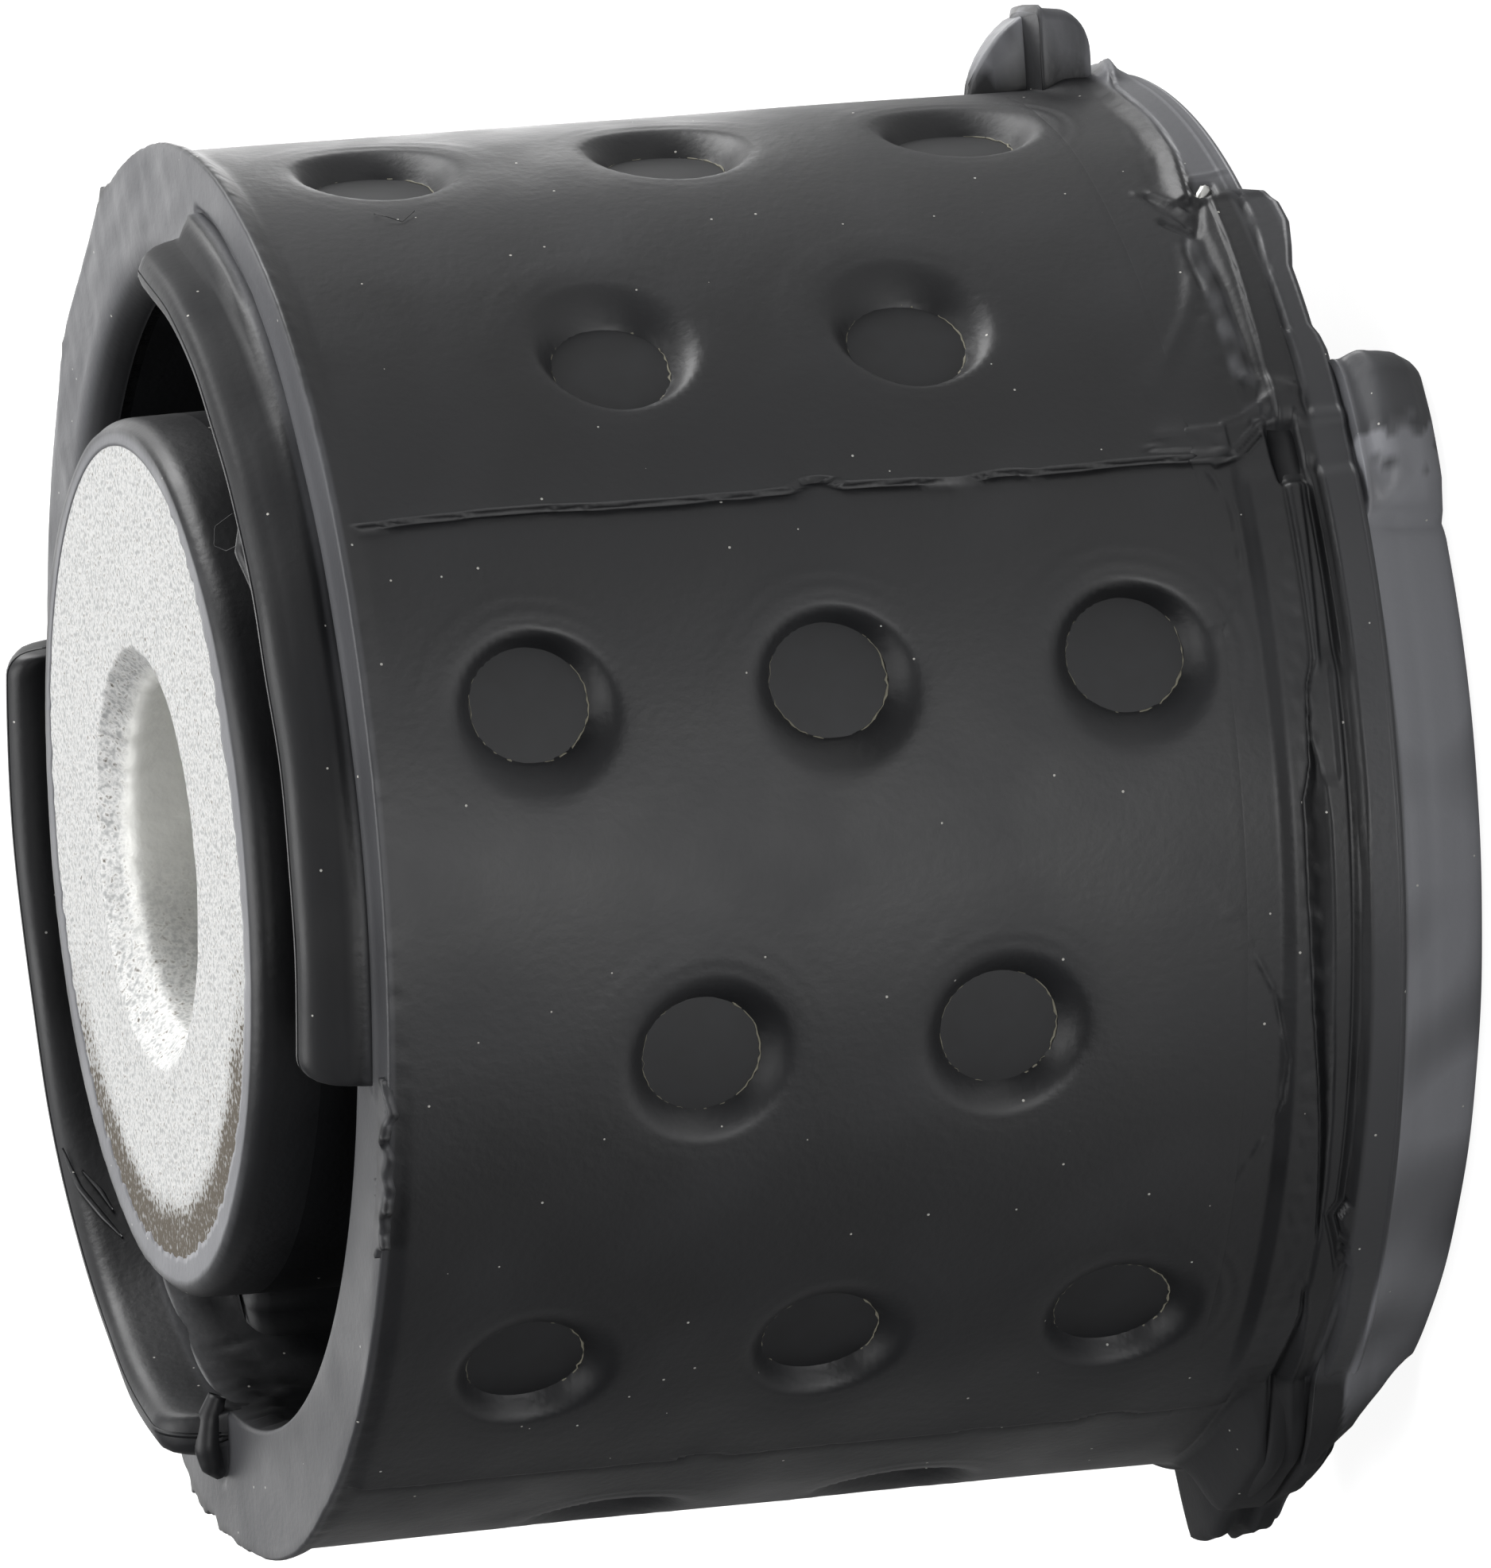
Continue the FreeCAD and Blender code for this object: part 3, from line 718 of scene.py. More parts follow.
def rear_stop(name, turn_by, seed):
    """A rear stop, turned by this many degrees from the near one."""
    along, reach, turn = along_bar(STOP_LOW - RAMP, STOP_TOP, CAP, 0.4)
    drop = np.tan(np.radians(np.clip(STOP_LOW - turn, 0, RAMP)))
    bottom = np.clip(drop / math.tan(math.radians(RAMP)), 0, 1) * RAMP_RISE
    bottom += 1.1 * roundness(np.clip((reach - along) / CAP, 0, 1))
    closed = 1 - np.clip((reach - along) / 0.3, 0, 1)
    size = np.sqrt(np.maximum(1 - closed ** 2, 0))[:, None]
    radius, z = rear_outline[None, :, 0], rear_outline[None, :, 1]
    proud = line(turn, PROUD)[:, None]
    bevel = 0.55 * np.clip(1 - z / 0.9, 0, 1) * window(turn, 20, 40, 1)[:, None]
    outside = ease(radius, 28, 29.2)
    grown = radius + ((proud - bevel) * outside * (1 - 0.5 * ease(z, 2.2, 3.3))
                      * fall(z, 3.5, 3.65))
    grown = grown + LOW_SWELL * line(-turn, SWELL)[:, None] * outside * ease(z, 0, 2.2)
    lines = 0.05 * bump(z, line(turn, FLANK_LINE)[:, None], 0.1)
    grown = grown + lines * ease(radius, 29, 29.2) * window(turn, -63, 21, 2)[:, None]
    grown = 27.0 + (grown - 27.0) * (0.9 + 0.1 * size)
    z = STOP_ROOT - (STOP_ROOT - z) * ((STOP_ROOT - bottom) / STOP_ROOT)[:, None]
    at = on_axis(turn[:, None], grown, z)
    level = np.stack([np.zeros_like(z), np.zeros_like(z), z + 0.1 * at[..., 1] * 0.05], -1)
    fine = ripple(level, 0.7, seed + 3)
    grown = grown + 0.02 * ripple(at, 6.0, seed) + 0.012 * fine * outside
    return swept_bar(name, turn[::-1] + turn_by, grown[::-1], z[::-1])


rear_stops = [rear_stop("rear_stop_near", 0, 61), rear_stop("rear_stop_far", 180, 62)]

# %% [markdown]
# ## The inner sleeve's coat and the two arms
# Inside, two rubber arms carry the inner sleeve, with a kidney shaped void on each side. The arm's
# flanks are hollow, because they are the round ends of the voids. In front the coat ends in a thin
# film over the metal, torn off unevenly where the mould closed on the face.

# %% Coat of the inner sleeve
FILM = [(-180, 17.15), (-150, 17.0), (-100, 17.1), (-60, 17.0), (-30, 17.15), (0, 17.0),
        (15, 16.6), (30, 17.0), (45, 17.35), (60, 17.8), (75, 18.05), (130, 18.1),
        (145, 17.8), (165, 17.35), (180, 17.15)]
FILM_HEIGHT = 0.03
even = np.arange(-180, 180, 0.6)
core_front = rounded_outline(
    [(COAT, LENGTH - 3), (COAT, LENGTH), (17.0, LENGTH)], [0.1, 1.0, 0.1], 9)[5:14]


def core_grid():
    """Radii and heights of the coat round the inner sleeve, with the film in front."""
    a = even[:, None]
    at = on_axis(a, 17.0, LENGTH)
    film = line(a, FILM) + 0.06 * ripple(at, 1.0, 42) + 0.04 * ripple(at, 0.35, 43)
    film = np.minimum(film, CORE)
    rear = np.array([(CORE - 0.4, 0.4), (CORE, 0.4), (COAT - 0.5, 0.5), (COAT, 1.1)]
                    + [(COAT, z) for z in (8, 20, 30, 38, 44)])
    rear = np.broadcast_to(rear.T[:, None, :], (2, len(a), len(rear)))
    round_r = core_front[None, :, 0] + 0 * a
    round_z = core_front[None, :, 1] + 0 * a
    flat_end = round_r[:, -1:]
    flat_r = flat_end + (film - flat_end) * np.linspace(0, 1, 7)[None, 1:]
    flat_z = LENGTH + FILM_HEIGHT + 0 * flat_r
    flat_z[:, -1] = LENGTH + FILM_HEIGHT / 2
    hidden = np.full_like(film, CORE - 0.4)
    under = np.concatenate([film + 0.01, hidden, hidden], 1)
    under_z = np.concatenate([np.full_like(film, z) for z in (LENGTH - 0.06, LENGTH - 0.6, 40)], 1)
    radius = np.concatenate([rear[0], round_r, flat_r, under], 1)
    z = np.concatenate(
        [rear[1], round_z + FILM_HEIGHT * (round_z > LENGTH - 1.2), flat_z, under_z], 1)
    swell = 0.05 * ripple(on_axis(a, radius, z), 9.0, 41) * (radius > CORE + 0.3)
    return radius + swell, z


core_radius, core_z = core_grid()
core_coat = turned_ring("core_coat", even, core_radius, core_z)

# %% The arms
ARM_LEVELS = [(7.0, 1.2), (7.15, 0.55), (7.6, 0.12), (8.2, 0.0), (43.3, 0.0), (43.9, 0.12),
              (44.35, 0.55), (44.5, 1.2)]
ARM_HALF = 30


def arm(name, middle):
    """An arm from the coat to the cavity's wall, from levels of (z, how far it draws in)."""
    mid, half_void = (COAT + CAVITY) / 2, (CAVITY - COAT) / 2
    reach = mid * math.radians(ARM_HALF) + half_void
    radius = np.linspace(COAT, CAVITY, 15)
    half = reach - np.sqrt(np.maximum(half_void ** 2 - (radius - mid) ** 2, 0))
    radius = np.concatenate([[COAT - 0.8], radius, [CAVITY + 0.8]])
    half = np.concatenate([half[:1], half, half[-1:]])
    rows = []
    for z, inset in ARM_LEVELS:
        side = np.degrees((half - inset) / radius)
        turn = np.concatenate([middle - side, middle + side[::-1]])
        rows.append(on_axis(turn, np.concatenate([radius, radius[::-1]]), z))
    points = np.stack(rows)
    count = points.shape[1]
    faces = grid_faces(len(rows), count, False)
    for base in (0, (len(rows) - 1) * count):
        for i in range(len(radius) - 1):
            quad = [base + i, base + i + 1, base + count - 2 - i, base + count - 1 - i]
            faces.append(quad if base == 0 else quad[::-1])
    return add_piece(name, points, faces)


arms = [arm("arm_near", PARTING + 0.4), arm("arm_far", PARTING + 180.4)]

# %% [markdown]
# ## The keying lug and the ear
# The lug finds the notch in the carrier, so that the bushing can go in only one way round. It is a
# block with a quarter round in front. The ear opposite marks the lower side.

# %% Keying lug
INNER = 29.0
LUG = 33.45
BLOCK_HALF, BLOCK_MIDDLE, NOSE_MIDDLE = 4.2, 87.2, 90.0


def block_along(name, levels, middle, seed, rounds=0.5):
    """A block from levels of (z, outer radius, half width in degrees)."""
    rows = []
    for z, outer, width in levels:
        near = [(middle - width + math.degrees(rounds * (1 - math.sin(t)) / BODY),
                 outer - rounds * (1 - math.cos(t))) for t in np.radians([90, 60, 30, 0])]
        far = [(2 * middle - a, r) for a, r in near[::-1]]
        top = [(middle - width + 2 * width * share, outer) for share in (0.2, 0.4, 0.6, 0.8)]
        side = [(middle - width, INNER + (outer - rounds - INNER) * share)
                for share in (0, 0.35, 0.7)]
        loop = side + near + top + far + [(2 * middle - a, r) for a, r in side[::-1]]
        rows.append(on_axis(*np.array(loop).T, z))
    points = np.stack(rows)
    count = points.shape[1]
    faces = grid_faces(len(rows), count, False)
    faces.append(list(range(count))[::-1])
    faces.append([(len(rows) - 1) * count + i for i in range(count)])
    points = points + 0.02 * ripple(points, 2.5, seed)[..., None]
    piece = add_piece(name, points, faces)
    for end in list(piece.data.polygons)[-2:]:
        end.use_smooth = False
    return piece


block_levels = [(6.4, LUG - 2.6, BLOCK_HALF)]
block_levels += [(6.4 + 1.3 * (1 - math.cos(t)), LUG - 1.7 + 1.7 * math.sin(t), BLOCK_HALF)
                 for t in np.radians(np.linspace(0, 90, 10))]
block_levels += [(8.0, LUG + 0.02, BLOCK_HALF), (8.3, LUG + 0.05, BLOCK_HALF),
                 (8.45, LUG + 0.2, 4.15), (8.56, LUG + 0.18, 4.1), (8.62, LUG - 0.1, 4.0)]
lug_block = block_along("lug_block", block_levels, BLOCK_MIDDLE, 81)
nose_levels = [(8.0, 33.3, 2.4), (8.4, 33.3, 2.4), (8.75, 33.17, 2.35), (9.2, 32.85, 2.2),
               (9.6, 32.5, 2.0), (9.95, 32.1, 1.8), (10.3, 31.65, 1.5), (10.65, 31.1, 1.2),
               (10.95, 30.5, 0.9), (11.1, 29.9, 0.7), (11.14, 29.5, 0.6)]
lug_nose = block_along("lug_nose", nose_levels, NOSE_MIDDLE, 82, 0.25)

# %% The ear
EAR_START, EAR_END = -57.0, -89.3


def ear(name):
    """The ear: a thick flap that rises from the rim and ends square, with folds in its skin."""
    turn = np.concatenate([np.arange(EAR_START, EAR_END, -0.35), [EAR_END]])
    low = -turn
    rise = 29.6 + 2.8 * ease(low, 58, 68) + 1.0 * ease(low, 79, 84) - 0.35 * ease(low, 88.8, 89.3)
    outer = rise[:, None]
    share = np.linspace(0, 1, 12)[None, :]
    front_z = 7.2 - 0.6 * share
    rear_z = 3.45 + 0.1 * share
    out_r = INNER + (outer - INNER) * share
    t = np.linspace(0, 1, 26)[None, 1:-1]
    skin = ease(low, 60, 68)[:, None] * (
        0.16 * bump(t, 0.12, 0.1) - 0.36 * window(t, 0.3, 0.55, 0.08) + 0.14 * bump(t, 0.62, 0.07))
    top_r = outer + skin - 0.5 * ease(t, 0.85, 1.0)
    top_z = 6.6 + (3.55 - 6.6) * t + 0 * outer
    radius = np.concatenate([out_r, top_r, (out_r - 0.5 * (share > 0.99))[:, ::-1]], 1)
    z = np.concatenate([np.broadcast_to(front_z, out_r.shape), top_z,
                        np.broadcast_to(rear_z[:, ::-1], out_r.shape)], 1)
    wobble = 0.05 * ripple(on_axis(turn[:, None], radius, z), 2.6, 91)
    return swept_bar(name, turn[::-1], (radius + wobble)[::-1], z[::-1])


ear_piece = ear("ear")

# %% [markdown]
# ## Flash and folds
# Where the mould's halves meet, a thin skin of rubber is squeezed out and later torn off. What
# stays is ragged, so each lip takes its edge from unevenness of three sizes. A moulding without
# it would look like a drawing.

# %% Ragged lips
def ragged_lip(name, start, end, root, reach, z_low, z_high, size, seed):
    """A thin skin along an arc; it grows from root towards reach by an uneven amount."""
    turn = np.arange(start, end, 0.12)
    at = on_axis(turn, BODY, 0.0)
    teeth = 0.4 + 0.4 * ripple(at, size * 2.2, seed) + 0.2 * ripple(at, size * 0.8, seed + 1)
    teeth = np.clip(teeth, 0.02, 1.1) * (0.8 + 0.25 * ripple(at, size * 0.4, seed + 3))
    ends = ease(turn, start, start + 2) * fall(turn, end - 2, end)
    tip = root + (reach - root) * teeth * ends
    lift = 0.08 * ripple(at, size * 0.7, seed + 2)
    back = np.full_like(tip, root - 0.4 * np.sign(reach - root))
    low, high = np.full_like(tip, z_low), np.full_like(tip, z_high)
    radius = np.stack([back, back, (root + tip) / 2, tip, tip, (root + tip) / 2], 1)
    z = np.stack([low, high, high + lift, high - 0.03 + lift, low + 0.03 + lift, low + lift], 1)
    if reach < root:
        radius, z = radius[:, ::-1], z[:, ::-1]
    return swept_bar(name, turn[::-1], radius[::-1], z[::-1])


lips = [ragged_lip("flash_strip", -35, -19, 29.7, 30.5, 47.3, 47.75, 2.0, 221),
        ragged_lip("flash_strip_inner", -34, -21, 29.5, 28.7, 47.45, 47.62, 1.4, 231)]

# %% Folds, the fin, the tongue and hairs
folds = [
    tube("fin", [(24.2, -104.6, 47.8), (25.2, -104.4, 48.2), (26.4, -104.2, 48.35),
                 (27.2, -104.4, 48.15), (27.7, -105.0, 47.7)], [0.4, 0.55, 0.6, 0.55, 0.4]),
    tube("tongue", [(25.0, 33, 49.9), (24.85, 30, 50.1), (24.9, 26, 49.8), (25.1, 21, 49.6),
                    (25.2, 18, 49.3)], [0.15, 0.4, 0.35, 0.4, 0.15], 0.8),
    tube("stop_fold_long", [(25.2, -150, 50.2), (25.0, -145, 49.9), (24.9, -141, 49.2),
                            (24.85, -138, 48.6)], [0.05, 0.14, 0.14, 0.05]),
    tube("stop_fold_short", [(25.0, -147, 49.6), (24.85, -144, 49.0), (24.8, -141.5, 48.7)],
         [0.05, 0.12, 0.05]),
    tube("hair_stop", [(25.1, 34, 50.2), (24.5, 33.6, 50.9), (24.1, 32, 51.0),
                       (24.3, 31, 50.6), (24.9, 30.6, 50.3)], [0.025, 0.025], 1, 5),
    tube("hair_body", [(30.05, 60.6, 41.6), (30.2, 59.4, 41.2), (30.05, 58.9, 40.6),
                       (30.15, 60.2, 39.9)], [0.02, 0.02], 1, 5)]

# %% [markdown]
# ## The two metal sleeves
# The inner sleeve is cast aluminium, blasted so that the rubber bonds to it. The outer one is
# drawn steel under a dark bonding primer. It shows at the dimples' floors and at one nick. The
# inner sleeve's grid is fine only at its ends, because the rubber hides the rest.

# %% Cast inner sleeve
def cast_grid():
    """Angles, radii and heights of the inner sleeve, rough at the mouth of the bore."""
    a = np.arange(-180, 180, 0.75)[:, None]
    corners = [(BORE, CHAMFER), (BORE + CHAMFER, 0), (CORE, 0), (CORE + 0.12, LENGTH),
               (BORE + CHAMFER, LENGTH), (BORE, LENGTH - CHAMFER)]
    r, z = rounded_outline(corners, [0.3, 0.12, 0.05, 0.05, 0.12, 0.3], 4, 0.3).T
    ends = (z > LENGTH - 7) | (z < 2)
    keep = (((r < CORE - 0.1) & ends) | (z > LENGTH - 0.5) | (z < 0.5)
            | (np.arange(len(r)) % 8 == 0))
    r, z = r[None, keep], z[None, keep]
    at = on_axis(a, r, z)
    mouth = bump(r, BORE + CHAMFER * 0.6, 0.9) * ease(z, LENGTH - 6, LENGTH - 2)
    rough = 0.035 * ripple(at, 0.9, 101) + 0.03 * ripple(at, 2.5, 102)
    return a, r + rough * mouth, z + 0 * a


cast_a, cast_r, cast_z = cast_grid()
cast_sleeve = turned_ring("cast_sleeve", cast_a[:, 0], cast_r, cast_z)

# %% Drawn outer sleeve
steel_angles = np.arange(0, 360, 0.75)
steel_outline = np.array([(SLEEVE_BORE, 5.6), (FLANGE, 5.6), (FLANGE, 7.0), (SLEEVE, 7.0)]
                         + [(SLEEVE, z) for z in np.arange(8, 45.5, 0.8)]
                         + [(SLEEVE, 45.5), (SLEEVE_BORE, 45.5)])
steel_sleeve = turned_ring("steel_sleeve", steel_angles, *steel_outline.T[:, None])
nick = tube("steel_nick", [(30.0, 52.3, 6.75), (30.15, 53.2, 6.45), (30.2, 53.9, 6.15),
                           (30.1, 54.1, 5.85)], [0.08, 0.26, 0.3, 0.08], 1.0, 7)

# %% [markdown]
# Adhesive creeps out round each pin while the rubber cures, and dries to a thin cream line at the
# floor's edge. It is a thin uneven ring, thicker on the side where the rubber flowed in.

# %% Dried adhesive at the dimples
LINE_POINTS = 72
THICK_SIDE = {0: -1.0, 1: 0.3, 10: 0.6, 2: -0.4}


def adhesive_lines():
    """One piece with a ring round each dimple's floor."""
    points, faces = [], []
    dice = np.random.default_rng(301)
    turns = np.linspace(0, 2 * np.pi, LINE_POINTS, endpoint=False)
    swings = np.arange(4) * np.pi / 2
    for row, row_angle in enumerate(ROW_ANGLES):
        for step in row_steps(row):
            amount = 0.35 + 0.65 * ease(np.cos(turns - THICK_SIDE.get(row, 0.0)), -0.4, 0.7)
            uneven = np.clip(0.9 + dice.normal(size=LINE_POINTS) * 0.5, 0.15, 2.2)
            thick = (0.042 * amount * uneven)[:, None]
            reach = (FLOOR_RADIUS + 0.02 + 0.03 * dice.normal(size=LINE_POINTS))[:, None]
            out = reach + thick * np.cos(swings)
            angle = row_angle + np.degrees(out * np.sin(turns)[:, None] / SLEEVE)
            z = DIMPLE_MIDDLE + step * DIMPLE_PITCH - out * np.cos(turns)[:, None]
            base = len(points) * LINE_POINTS * 4
            points.append(on_axis(angle, SLEEVE + 0.02 + thick * np.sin(swings), z))
            faces += [[base + i for i in face] for face in grid_faces(LINE_POINTS, 4, True)]
    return add_piece("adhesive_lines", np.stack(points), faces)


adhesive = adhesive_lines()

# %% [markdown]
# ## Materials
# Colours are written as sRGB hex values, as a paint chart gives them, and one function turns them
# to the linear values that the renderer works with. One function adds every node, and the small
# ones after it name the kinds that come back again and again.

# %% Colour and node helpers
def linear(code):
    """Linear colour from an sRGB hex value."""
    parts = [int(code[i:i + 2], 16) / 255 for i in (1, 3, 5)]
    return tuple(p / 12.92 if p <= 0.04045 else ((p + 0.055) / 1.055) ** 2.4
                 for p in parts) + (1.0,)


def wire(tree, made, **links):
    """Fill inputs by name, or by number as n3, from a value, a hex colour or a socket."""
    for key, value in links.items():
        socket = made.inputs[int(key[1:]) if key[1:].isdigit() else key.replace("_", " ")]
        if isinstance(value, bpy.types.NodeSocket):
            tree.links.new(value, socket)
        else:
            socket.default_value = linear(value) if isinstance(value, str) else value
    return made


def node(tree, kind, settings=None, **links):
    """Add a node with these settings and inputs."""
    made = tree.nodes.new(kind)
    for key, value in (settings or {}).items():
        setattr(made, key, value)
    return wire(tree, made, **links)


def maths(tree, operation, *values, clamp=False):
    """The result of a sum on values or sockets."""
    inputs = {f"n{i}": value for i, value in enumerate(values)}
    settings = {"operation": operation, "use_clamp": clamp}
    return node(tree, "ShaderNodeMath", settings, **inputs).outputs[0]


def ramp(tree, value, start, end, low=0.0, high=1.0, kind="LINEAR"):
    """A value moved from the range start..end to the range low..high."""
    return node(tree, "ShaderNodeMapRange", {"interpolation_type": kind},
                n0=value, n1=start, n2=end, n3=low, n4=high).outputs[0]


def soft_ramp(tree, *numbers):
    """A ramp that starts and stops smoothly."""
    return ramp(tree, *numbers, kind="SMOOTHSTEP")


def mix(tree, share, first, second):
    """The first colour, replaced by the second as share goes from 0 to 1."""
    return node(tree, "ShaderNodeMix", {"data_type": "RGBA"},
                n0=share, n6=first, n7=second).outputs[2]


def noise(tree, where, scale, detail):
    """Cloudy noise at this place on the piece."""
    return node(tree, "ShaderNodeTexNoise", n0=where, Scale=scale, Detail=detail).outputs["Fac"]


def mask(tree, name):
    """The number that each point of the piece carries under this name."""
    return node(tree, "ShaderNodeAttribute", {"attribute_name": name}).outputs["Fac"]


def grit(tree, height, strength):
    """A normal for grain a tenth of a millimetre high."""
    bump_node = node(tree, "ShaderNodeBump", Height=height, Strength=strength, Distance=0.0001)
    return bump_node.outputs[0]


def new_material(name):
    """A material, its tree, its shader and the place on the object."""
    material = bpy.data.materials.new(name)
    material.use_nodes = True
    tree = material.node_tree
    where = node(tree, "ShaderNodeTexCoord").outputs["Object"]
    return material, tree, tree.nodes["Principled BSDF"], where


# %% [markdown]
# Wax comes to the surface of rubber and dries to a grey bloom. The same paler grey is also
# painted light: on the ring's face and the rear flanks, both most towards the top, on the lug and
# along the rim's upper step near the top edge, while the lug block's front face is left dark as
# painted shade. Each point carries its own amount, worked out from where it is. Below nought the
# rubber gets duller instead of paler.

# %% Bloom and painted light
def bloom_and_painted_light_at(r, a, z):
    """Amount of waxy grey and painted light at these points."""
    at = on_axis(a, r, z)
    soft, fine = ripple(at, 6.0, 401), ripple(at, 1.2, 402)
    below = -apart(a, 0)
    # Ring's face: bloom, and painted light that makes it paler on its upper side.
    upper = ease(np.sin(np.radians(a)), -0.3, 0.9)
    ring = (window(z, FACE - 0.3, FACE + 0.25, 0.1) * window(r, CAVITY - 0.3, 30.35, 0.12)
            * (0.34 + 0.44 * upper))
    film = (1.4 * ease(z, LENGTH - 0.25, LENGTH - 0.02) * fall(r, 18.0, 18.5)
            * ease(r, 16, 16.4))
    band = 0.35 * window(z, 3.4, 5.3, 0.1) * ease(r, 29.9, 30.1)
    off = np.where(np.abs(apart(a, 0)) < 90, apart(a, 0), apart(a, 180))
    # Rear flanks: bloom and painted light, paler towards the top by the weight in the sum below,
    # and little at the stops' proud top ends.
    flank = (ease(r, 28.2, 28.8) * fall(z, 3.5, 3.75) * (0.75 + 0.2 * soft)
             * (1 - 0.87 * ease(off + 1.4 * fine + 0.8 * soft, 23, 26)))
    # Lug: painted light makes it paler, the nose most; the block's front face is left dark as
    # painted shade.
    lug = ((1.0 + 0.5 * ease(z, 8.63, 8.7) + 0.3 * fine) * ease(r, 30.6, 31.2)
           * window(apart(a, 90), -12, 12) * ease(z, 5, 6) * (1 - window(z, 8.58, 8.65, 0.02)))
    # Rim's upper step: a paler band near the top edge, painted sheen.
    rim = 1.1 * window(apart(a, 76), -22, 22, 2) * window(z, 4.4, 6.6, 0.2)
    torn = ease(below, 58, 64) * fall(below, 100, 104) * ease(r, 30.05, 30.4) * fall(z, 9, 10)
    waxy = (0.55 * (0.7 + 0.5 * fine) * window(z, 7.1, 8.0, 0.2) * window(a, 30.5, 48, 2)
            * ease(r, 29.5, 29.8))
    stop = (0.8 * window(r, 26.3, 28.2, 0.3) * ease(z, FACE + 0.4, FACE + 1)
            * window(apart(a, STOP_MIDDLE), -60, 60) * fall(z, LENGTH - 0.6, LENGTH - 0.2))
    return (ring + film + band + (2.5 + 2.6 * ease(off, -5, 20)) * flank + lug + rim + waxy
            + 0.02 * soft - 1.2 * torn - stop)


def add_mask(piece, name, values):
    """Keep one number for each point of a piece, for its material to read."""
    layer = piece.data.attributes.new(name, "FLOAT", "POINT")
    layer.data.foreach_set("value", np.asarray(values, np.float32).ravel())


def polar(piece):
    """Radius, angle and height of every point of a piece, in millimetres and degrees."""
    spots = np.empty(len(piece.data.vertices) * 3)
    piece.data.vertices.foreach_get("co", spots)
    x, y, z = (spots.reshape(-1, 3) / MM).T
    return np.hypot(x, y), np.degrees(np.arctan2(y, x)), z


rubber_pieces = [rubber_coat, rear_rim, *front_stops, *rear_stops, core_coat, *arms,
                 lug_block, lug_nose, ear_piece, *lips, *folds]
blooms_and_painted_light = [bloom_and_painted_light_at(*polar(piece)) for piece in rubber_pieces]
for piece, values in zip(rubber_pieces, blooms_and_painted_light):
    add_mask(piece, "bloom_and_painted_light", values)
print("bloom from", round(float(min(v.min() for v in blooms_and_painted_light)), 1),
      "to", round(float(max(v.max() for v in blooms_and_painted_light)), 1))

# %% Moulded rubber
rubber, tree, shader, where = new_material("moulded_natural_rubber")
cloud = noise(tree, where, 170.0, 6.0)
bloom_and_painted_light = mask(tree, "bloom_and_painted_light")
base = mix(tree, cloud, "#151516", "#212225")
# The mask's paler grey: wax bloom in places, painted light and sheen in others.
waxed_and_lit = mix(tree, maths(tree, "MULTIPLY", bloom_and_painted_light, 0.4, clamp=True), base, "#8C8D92")
cells = node(tree, "ShaderNodeTexVoronoi", n0=where, Scale=800.0)
chance = node(tree, "ShaderNodeSeparateColor", n0=cells.outputs["Color"]).outputs[0]
speck = maths(tree, "LESS_THAN", cells.outputs["Distance"], 0.045)
dust = maths(tree, "MULTIPLY", speck, maths(tree, "LESS_THAN", chance, 0.6))
polish = ramp(tree, cloud, 0.3, 0.7, 0.40, 0.54)
dull = ramp(tree, bloom_and_painted_light, -1.0, 0.0, 0.4, 0.0)
wire(tree, shader, Base_Color=mix(tree, dust, waxed_and_lit, "#C8C6C0"),
     Roughness=maths(tree, "ADD", polish, dull), IOR=1.5, Specular_IOR_Level=0.5,
     Normal=grit(tree, noise(tree, where, 2600.0, 5.0), 0.2))

# %% Blasted cast aluminium
aluminium, tree, shader, where = new_material("blasted_cast_aluminium")
r, a, z = polar(cast_sleeve)
band = ease(r, 14.0, 16.6) * ease(z, LENGTH - 0.5, LENGTH - 0.2)
band = (1.25 * band * fall(np.abs(apart(a, -90)), 35, 85)
        * (0.95 + 0.1 * ripple(on_axis(a, r, z), 3.0, 411)))
spots = strokes(a, r, [([(56, 9.3), (60, 9.0), (68, 8.0), (75, 7.4)], 0.16, 0.8),
                       ([(95, 6.9), (100, 7.0), (104, 7.7)], 0.2, 0.9)])
add_mask(cast_sleeve, "grime", np.clip(band, 0, 1) + spots * ease(z, LENGTH - 4, LENGTH - 2))
# Painted light: the bore's wall is painted near white, most on its upper side and less towards the
# bottom.
lit = 1 - 0.85 * ease(-np.sin(np.radians(a)), -0.2, 0.8)
add_mask(cast_sleeve, "painted_bore_light", fall(r, 7.8, 8.3) * lit)
speck = noise(tree, where, 3800.0, 3.0)
clean = mix(tree, ramp(tree, speck, 0.35, 0.55), "#BABBBB", "#E4E4E3")
broken = maths(tree, "MULTIPLY_ADD", speck, 3.2, -1.75)
dirt = maths(tree, "ADD", mask(tree, "grime"), broken)
skin = mix(tree, ramp(tree, dirt, 0.1, 0.7), clean, "#6E675D")
coarse = maths(tree, "MULTIPLY_ADD", noise(tree, where, 420.0, 3.0), 2.0, speck)
# Near white on the bore's wall is painted light.
wire(tree, shader, Base_Color=mix(tree, mask(tree, "painted_bore_light"), skin, "#FBFBF8"),
     Metallic=1.0, Roughness=0.75, Normal=grit(tree, coarse, 0.25))

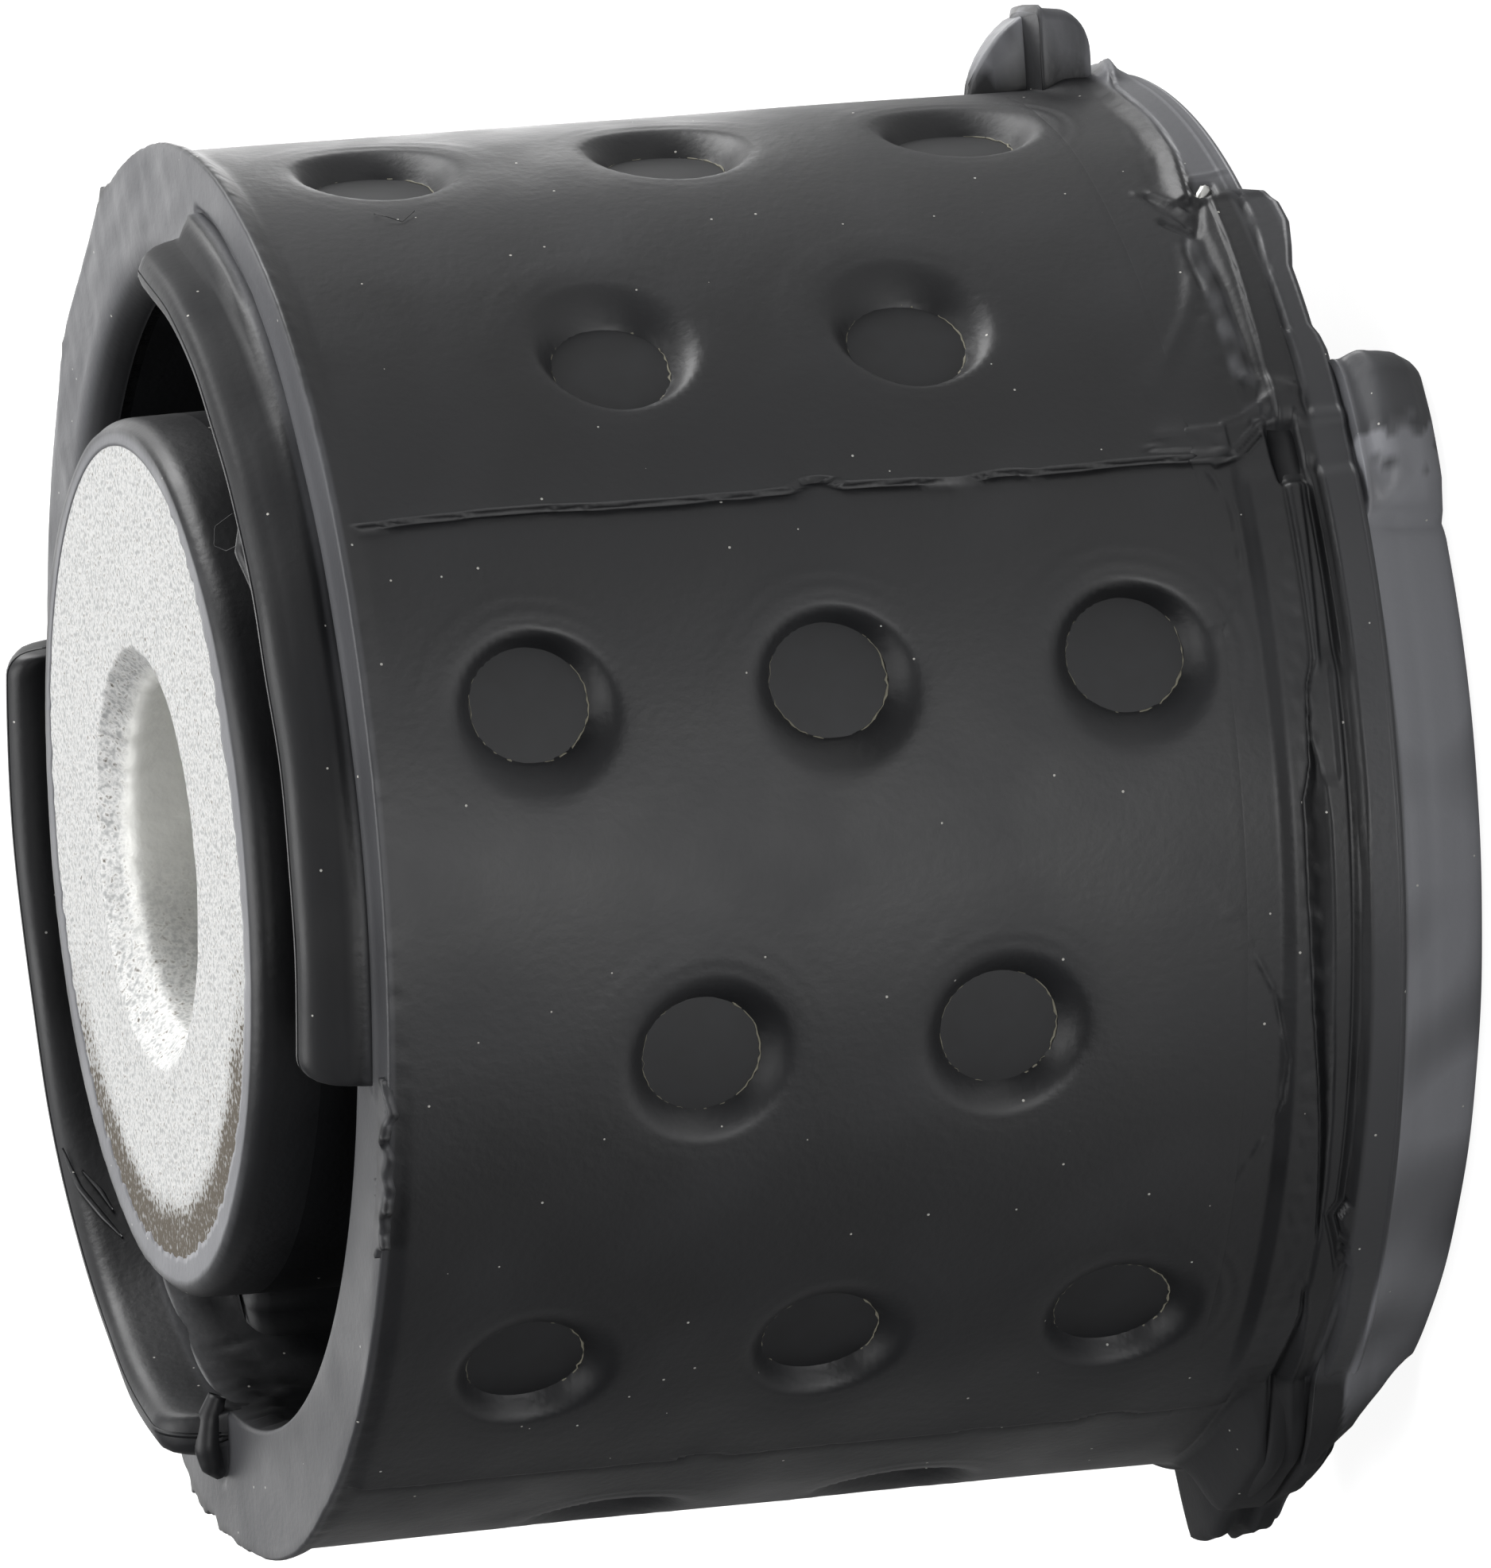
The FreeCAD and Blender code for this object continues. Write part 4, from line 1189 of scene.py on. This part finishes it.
# %% Primed steel, bare steel and dried adhesive
primed, tree, shader, where = new_material("primed_sheet_steel")
smear = noise(tree, where, 900.0, 6.0)
wire(tree, shader, Base_Color=mix(tree, smear, "#141415", "#232427"), Roughness=0.6)
bare, tree, shader, where = new_material("bare_steel")
wire(tree, shader, Base_Color="#D8D8D4", Metallic=1.0, Roughness=0.35)
glue, tree, shader, where = new_material("dried_adhesive")
wire(tree, shader, Base_Color="#8A8778", Roughness=0.7)

# %% Give each piece its material and body, and hide the imported node it replaces
dressed = [(piece, rubber, "rubber_body", "black_rubber") for piece in rubber_pieces]
dressed += [(cast_sleeve, aluminium, "inner_sleeve", "cast_aluminium"),
            (steel_sleeve, primed, "outer_sleeve", "sleeve_steel"),
            (nick, bare, "outer_sleeve", None), (adhesive, glue, "outer_sleeve", None)]
for piece, material, cad_node, slot in dressed:
    piece.data.materials.append(material)
    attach(piece, "root")
    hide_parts(cad_node)
print("dressed pieces:", len(dressed))

# %% [markdown]
# ## Floor and light
# The photograph was taken on white, lit softly from behind and above, so the top and the front
# ring shine and the lower side stays dark. The floor is pale to the camera. In the rubber's
# reflections it glows as painted light: a bright band behind the part and a broad glow on the
# camera's side, in place of studio lamps.

# %% Floor
FLOOR, FLOOR_Z = 3000.0, -0.05
floor_material, tree, shader, where = new_material("pale_floor_with_painted_glow")
wire(tree, shader, Base_Color="#8A8A8A", Roughness=0.9)
rays = node(tree, "ShaderNodeLightPath").outputs
spot = node(tree, "ShaderNodeSeparateXYZ", n0=where).outputs
# Painted light: the floor emits for glossy rays only, a bright band behind the part and a broad
# glow on the camera's side, which the rubber reflects.
strip = maths(tree, "MULTIPLY", soft_ramp(tree, spot["Y"], -0.02, 0.05, 0.0, 1.0),
              soft_ramp(tree, spot["Y"], 0.1, 0.145, 1.0, 0.05))
behind = maths(tree, "MULTIPLY", strip, soft_ramp(tree, spot["X"], -0.1, -0.045, 4.3, 0.2))
height = maths(tree, "MULTIPLY", soft_ramp(tree, spot["Y"], -0.11, -0.02, 0.08, 2.0),
               soft_ramp(tree, spot["Y"], 0.0, 0.07, 1.0, 0.2))
nearby = soft_ramp(tree, spot["X"], 0.0, 0.13, 0.0, 1.0)
sheen = maths(tree, "MULTIPLY_ADD", height, nearby, behind)
mirrored = maths(tree, "MULTIPLY", rays["Is Glossy Ray"], sheen)
seen = maths(tree, "MULTIPLY_ADD", rays["Is Camera Ray"], 0.92, mirrored)
glow = node(tree, "ShaderNodeEmission", Color=(1, 1, 1, 1), Strength=seen)
both = node(tree, "ShaderNodeAddShader", n0=shader.outputs[0], n1=glow.outputs[0])
wire(tree, tree.nodes["Material Output"], Surface=both.outputs[0])
floor = add_piece("floor", [(x, y, FLOOR_Z) for x, y in ((-FLOOR, -FLOOR), (FLOOR, -FLOOR),
                                                         (FLOOR, FLOOR), (-FLOOR, FLOOR))],
                  [[0, 1, 2, 3]], False)
floor.data.materials.append(floor_material)

# %% World
world = bpy.data.worlds.new("soft_sky")
bpy.context.scene.world = world
world.use_nodes = True
tree = world.node_tree
where = node(tree, "ShaderNodeTexCoord").outputs["Generated"]
way = node(tree, "ShaderNodeSeparateXYZ", n0=where).outputs
away = maths(tree, "MULTIPLY", way["X"], -1.0)
side = maths(tree, "MULTIPLY", soft_ramp(tree, away, 0.05, 0.85, 0.2, 1.0),
             soft_ramp(tree, way["Y"], -0.35, 0.2, 0.14, 1.0))
sky = maths(tree, "MULTIPLY", side, soft_ramp(tree, way["Z"], 0.25, 0.6, 1.0, 0.25))
sheet = maths(tree, "MULTIPLY_ADD", soft_ramp(tree, away, 0.75, 0.95, 0.0, 1.3),
              soft_ramp(tree, way["Y"], -0.35, 0.15, 0.25, 1.0), sky)
panel = maths(tree, "ADD", sheet, soft_ramp(tree, way["Z"], 0.82, 0.96, 0.0, 4.2))
rays = node(tree, "ShaderNodeLightPath").outputs
seen = node(tree, "ShaderNodeMix", {"data_type": "FLOAT"},
            n0=rays["Is Camera Ray"], n2=panel, n3=1.0)
wire(tree, tree.nodes["Background"], Color=(1, 1, 1, 1), Strength=seen.outputs[0])
print("world nodes:", len(tree.nodes))

# %% Lamps
def lamp(name, place, size, watts):
    """A round lamp that points at the middle of the bushing."""
    data = bpy.data.lights.new(name, "AREA")
    data.shape = "DISK"
    data.size = size
    data.energy = watts
    made = bpy.data.objects.new(name, data)
    made.location = place
    target = Vector((0, 0, LENGTH * MM / 2))
    made.rotation_euler = (target - Vector(place)).to_track_quat("-Z", "Y").to_euler()
    bpy.context.scene.collection.objects.link(made)
    return made


lamp("front_lamp", (0.8, -0.12, 0.05), 0.4, 2.6)
lamp("top_lamp", (-0.25, 0.7, 0.3), 0.5, 5.0)
bpy.context.scene.view_settings.view_transform = "Standard"
